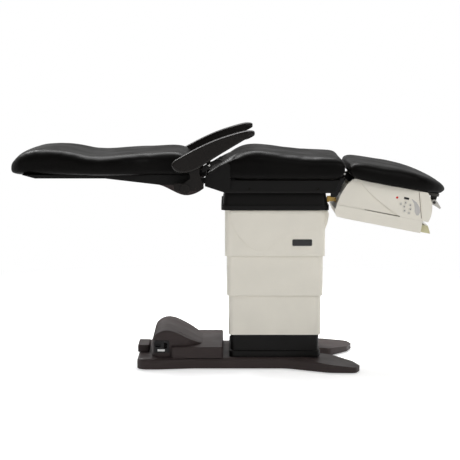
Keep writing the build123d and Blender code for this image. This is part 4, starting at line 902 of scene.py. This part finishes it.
def white_floor(lift, near, far):
    """A floor that reads white to the camera and still takes the chair's soft shadow."""
    material = bpy.data.materials.new("Vinyl floor, white")
    material.use_nodes = True
    tree = material.node_tree
    tree.nodes.clear()
    white = (1.0, 1.0, 1.0, 1.0)
    plain = add(tree, "ShaderNodeBsdfDiffuse", Color=(0.8, 0.8, 0.8, 1.0)).outputs["BSDF"]
    glow = add(tree, "ShaderNodeEmission", Color=white, Strength=lift)
    bright = add(tree, "ShaderNodeEmission", Color=white, Strength=1.0)
    lifted = add(tree, "ShaderNodeAddShader", {0: plain, 1: glow.outputs["Emission"]})
    # The shadowed floor near the chair fades to an even white further out.
    where = add(tree, "ShaderNodeTexCoord").outputs["Object"]
    reach = add(tree, "ShaderNodeVectorMath", {0: where}, {"operation": "LENGTH"})
    fade = add(tree, "ShaderNodeMapRange", {"Value": reach.outputs["Value"]},
               {"interpolation_type": "SMOOTHSTEP"}, From_Min=near, From_Max=far)
    shown = add(tree, "ShaderNodeMixShader",
                {"Fac": fade.outputs["Result"], 1: lifted.outputs["Shader"],
                 2: bright.outputs["Emission"]})
    whole = add(tree, "ShaderNodeMixShader",
                {"Fac": background_rays(tree), 1: plain, 2: shown.outputs["Shader"]})
    add(tree, "ShaderNodeOutputMaterial", {"Surface": whole.outputs["Shader"]})
    return material


class CHAIR_OT_stage(bpy.types.Operator):
    """Sets the floor, the soft studio light and the camera"""
    bl_idname = "chair.stage"
    bl_label = "Stage"

    def execute(self, context):
        stage = context.scene.chair_stage
        leave_edit()
        bpy.ops.object.select_all(action="DESELECT")
        bpy.ops.mesh.primitive_plane_add(size=FLOOR_SIZE, location=(0.0, 0.0, 0.0))
        floor = bpy.context.object
        floor.name = "Floor"
        floor.data.materials.append(white_floor(stage.floor_lift, FLOOR_NEAR, FLOOR_FAR))
        if context.scene.world is None:
            context.scene.world = bpy.data.worlds.new("World")
        white_surround(context.scene.world, stage.front_level, stage.fill_level)
        area_light("Key", (3.2, 1.8), stage.key_power, (-0.6, 0.9, 3.2), (0.0, 0.0, 0.8))
        area_light("Rim", (1.6, 0.8), stage.rim_power, (-2.4, 3.6, 3.3), (0.0, 0.0, 0.85))
        area_light("Fill", (3.0, 2.0), stage.fill_power, (2.2, -3.8, 2.9), (0.0, 0.0, 0.7))
        lens = bpy.data.cameras.new("Camera")
        lens.sensor_width = SENSOR_WIDTH
        lens.lens = stage.camera_lens
        camera = bpy.data.objects.new("Camera", lens)
        context.scene.collection.objects.link(camera)
        camera.location = (stage.camera_x, -stage.camera_distance, stage.camera_height)
        camera.rotation_euler = (UPRIGHT - stage.camera_tilt, 0.0, 0.0)
        context.scene.camera = camera
        context.scene.view_settings.view_transform = "Standard"
        return {"FINISHED"}


# Panel and registration


class CHAIR_PT_panel(bpy.types.Panel):
    """Lists the chair's sizes, colours and building steps"""
    bl_idname = "CHAIR_PT_panel"
    bl_label = "Podiatry chair"
    bl_space_type = "VIEW_3D"
    bl_region_type = "UI"
    bl_category = "Chair"

    def draw(self, context):
        layout = self.layout
        scene = context.scene
        for owner in (scene.chair_sizes, scene.chair_colours, scene.chair_stage):
            box = layout.box()
            for key in owner.__annotations__:
                box.prop(owner, key)
        for operator in OPERATORS:
            layout.operator(operator.bl_idname)


OPERATORS = (
    CHAIR_OT_finishes,
    CHAIR_OT_seat_pad,
    CHAIR_OT_back_pad,
    CHAIR_OT_leg_pad,
    CHAIR_OT_arms,
    CHAIR_OT_levers,
    CHAIR_OT_label,
    CHAIR_OT_key_marks,
    CHAIR_OT_key_trim,
    CHAIR_OT_stage,
)
CLASSES = (ChairSizes, ChairColours, ChairStage) + OPERATORS + (CHAIR_PT_panel,)


def register():
    """Registers the classes and their scene properties."""
    for item in CLASSES:
        bpy.utils.register_class(item)
    bpy.types.Scene.chair_sizes = bpy.props.PointerProperty(type=ChairSizes)
    bpy.types.Scene.chair_colours = bpy.props.PointerProperty(type=ChairColours)
    bpy.types.Scene.chair_stage = bpy.props.PointerProperty(type=ChairStage)


def unregister():
    """Removes the scene properties and the classes."""
    del bpy.types.Scene.chair_stage
    del bpy.types.Scene.chair_colours
    del bpy.types.Scene.chair_sizes
    for item in reversed(CLASSES):
        bpy.utils.unregister_class(item)


def main():
    """Builds the chair's soft pieces, finishes and stage in order."""
    register()
    bpy.ops.chair.finishes()
    bpy.ops.chair.seat_pad()
    bpy.ops.chair.back_pad()
    bpy.ops.chair.leg_pad()
    bpy.ops.chair.arms()
    bpy.ops.chair.levers()
    bpy.ops.chair.label()
    bpy.ops.chair.key_marks()
    bpy.ops.chair.key_trim()
    bpy.ops.chair.stage()


if __name__ == "__main__":
    main()
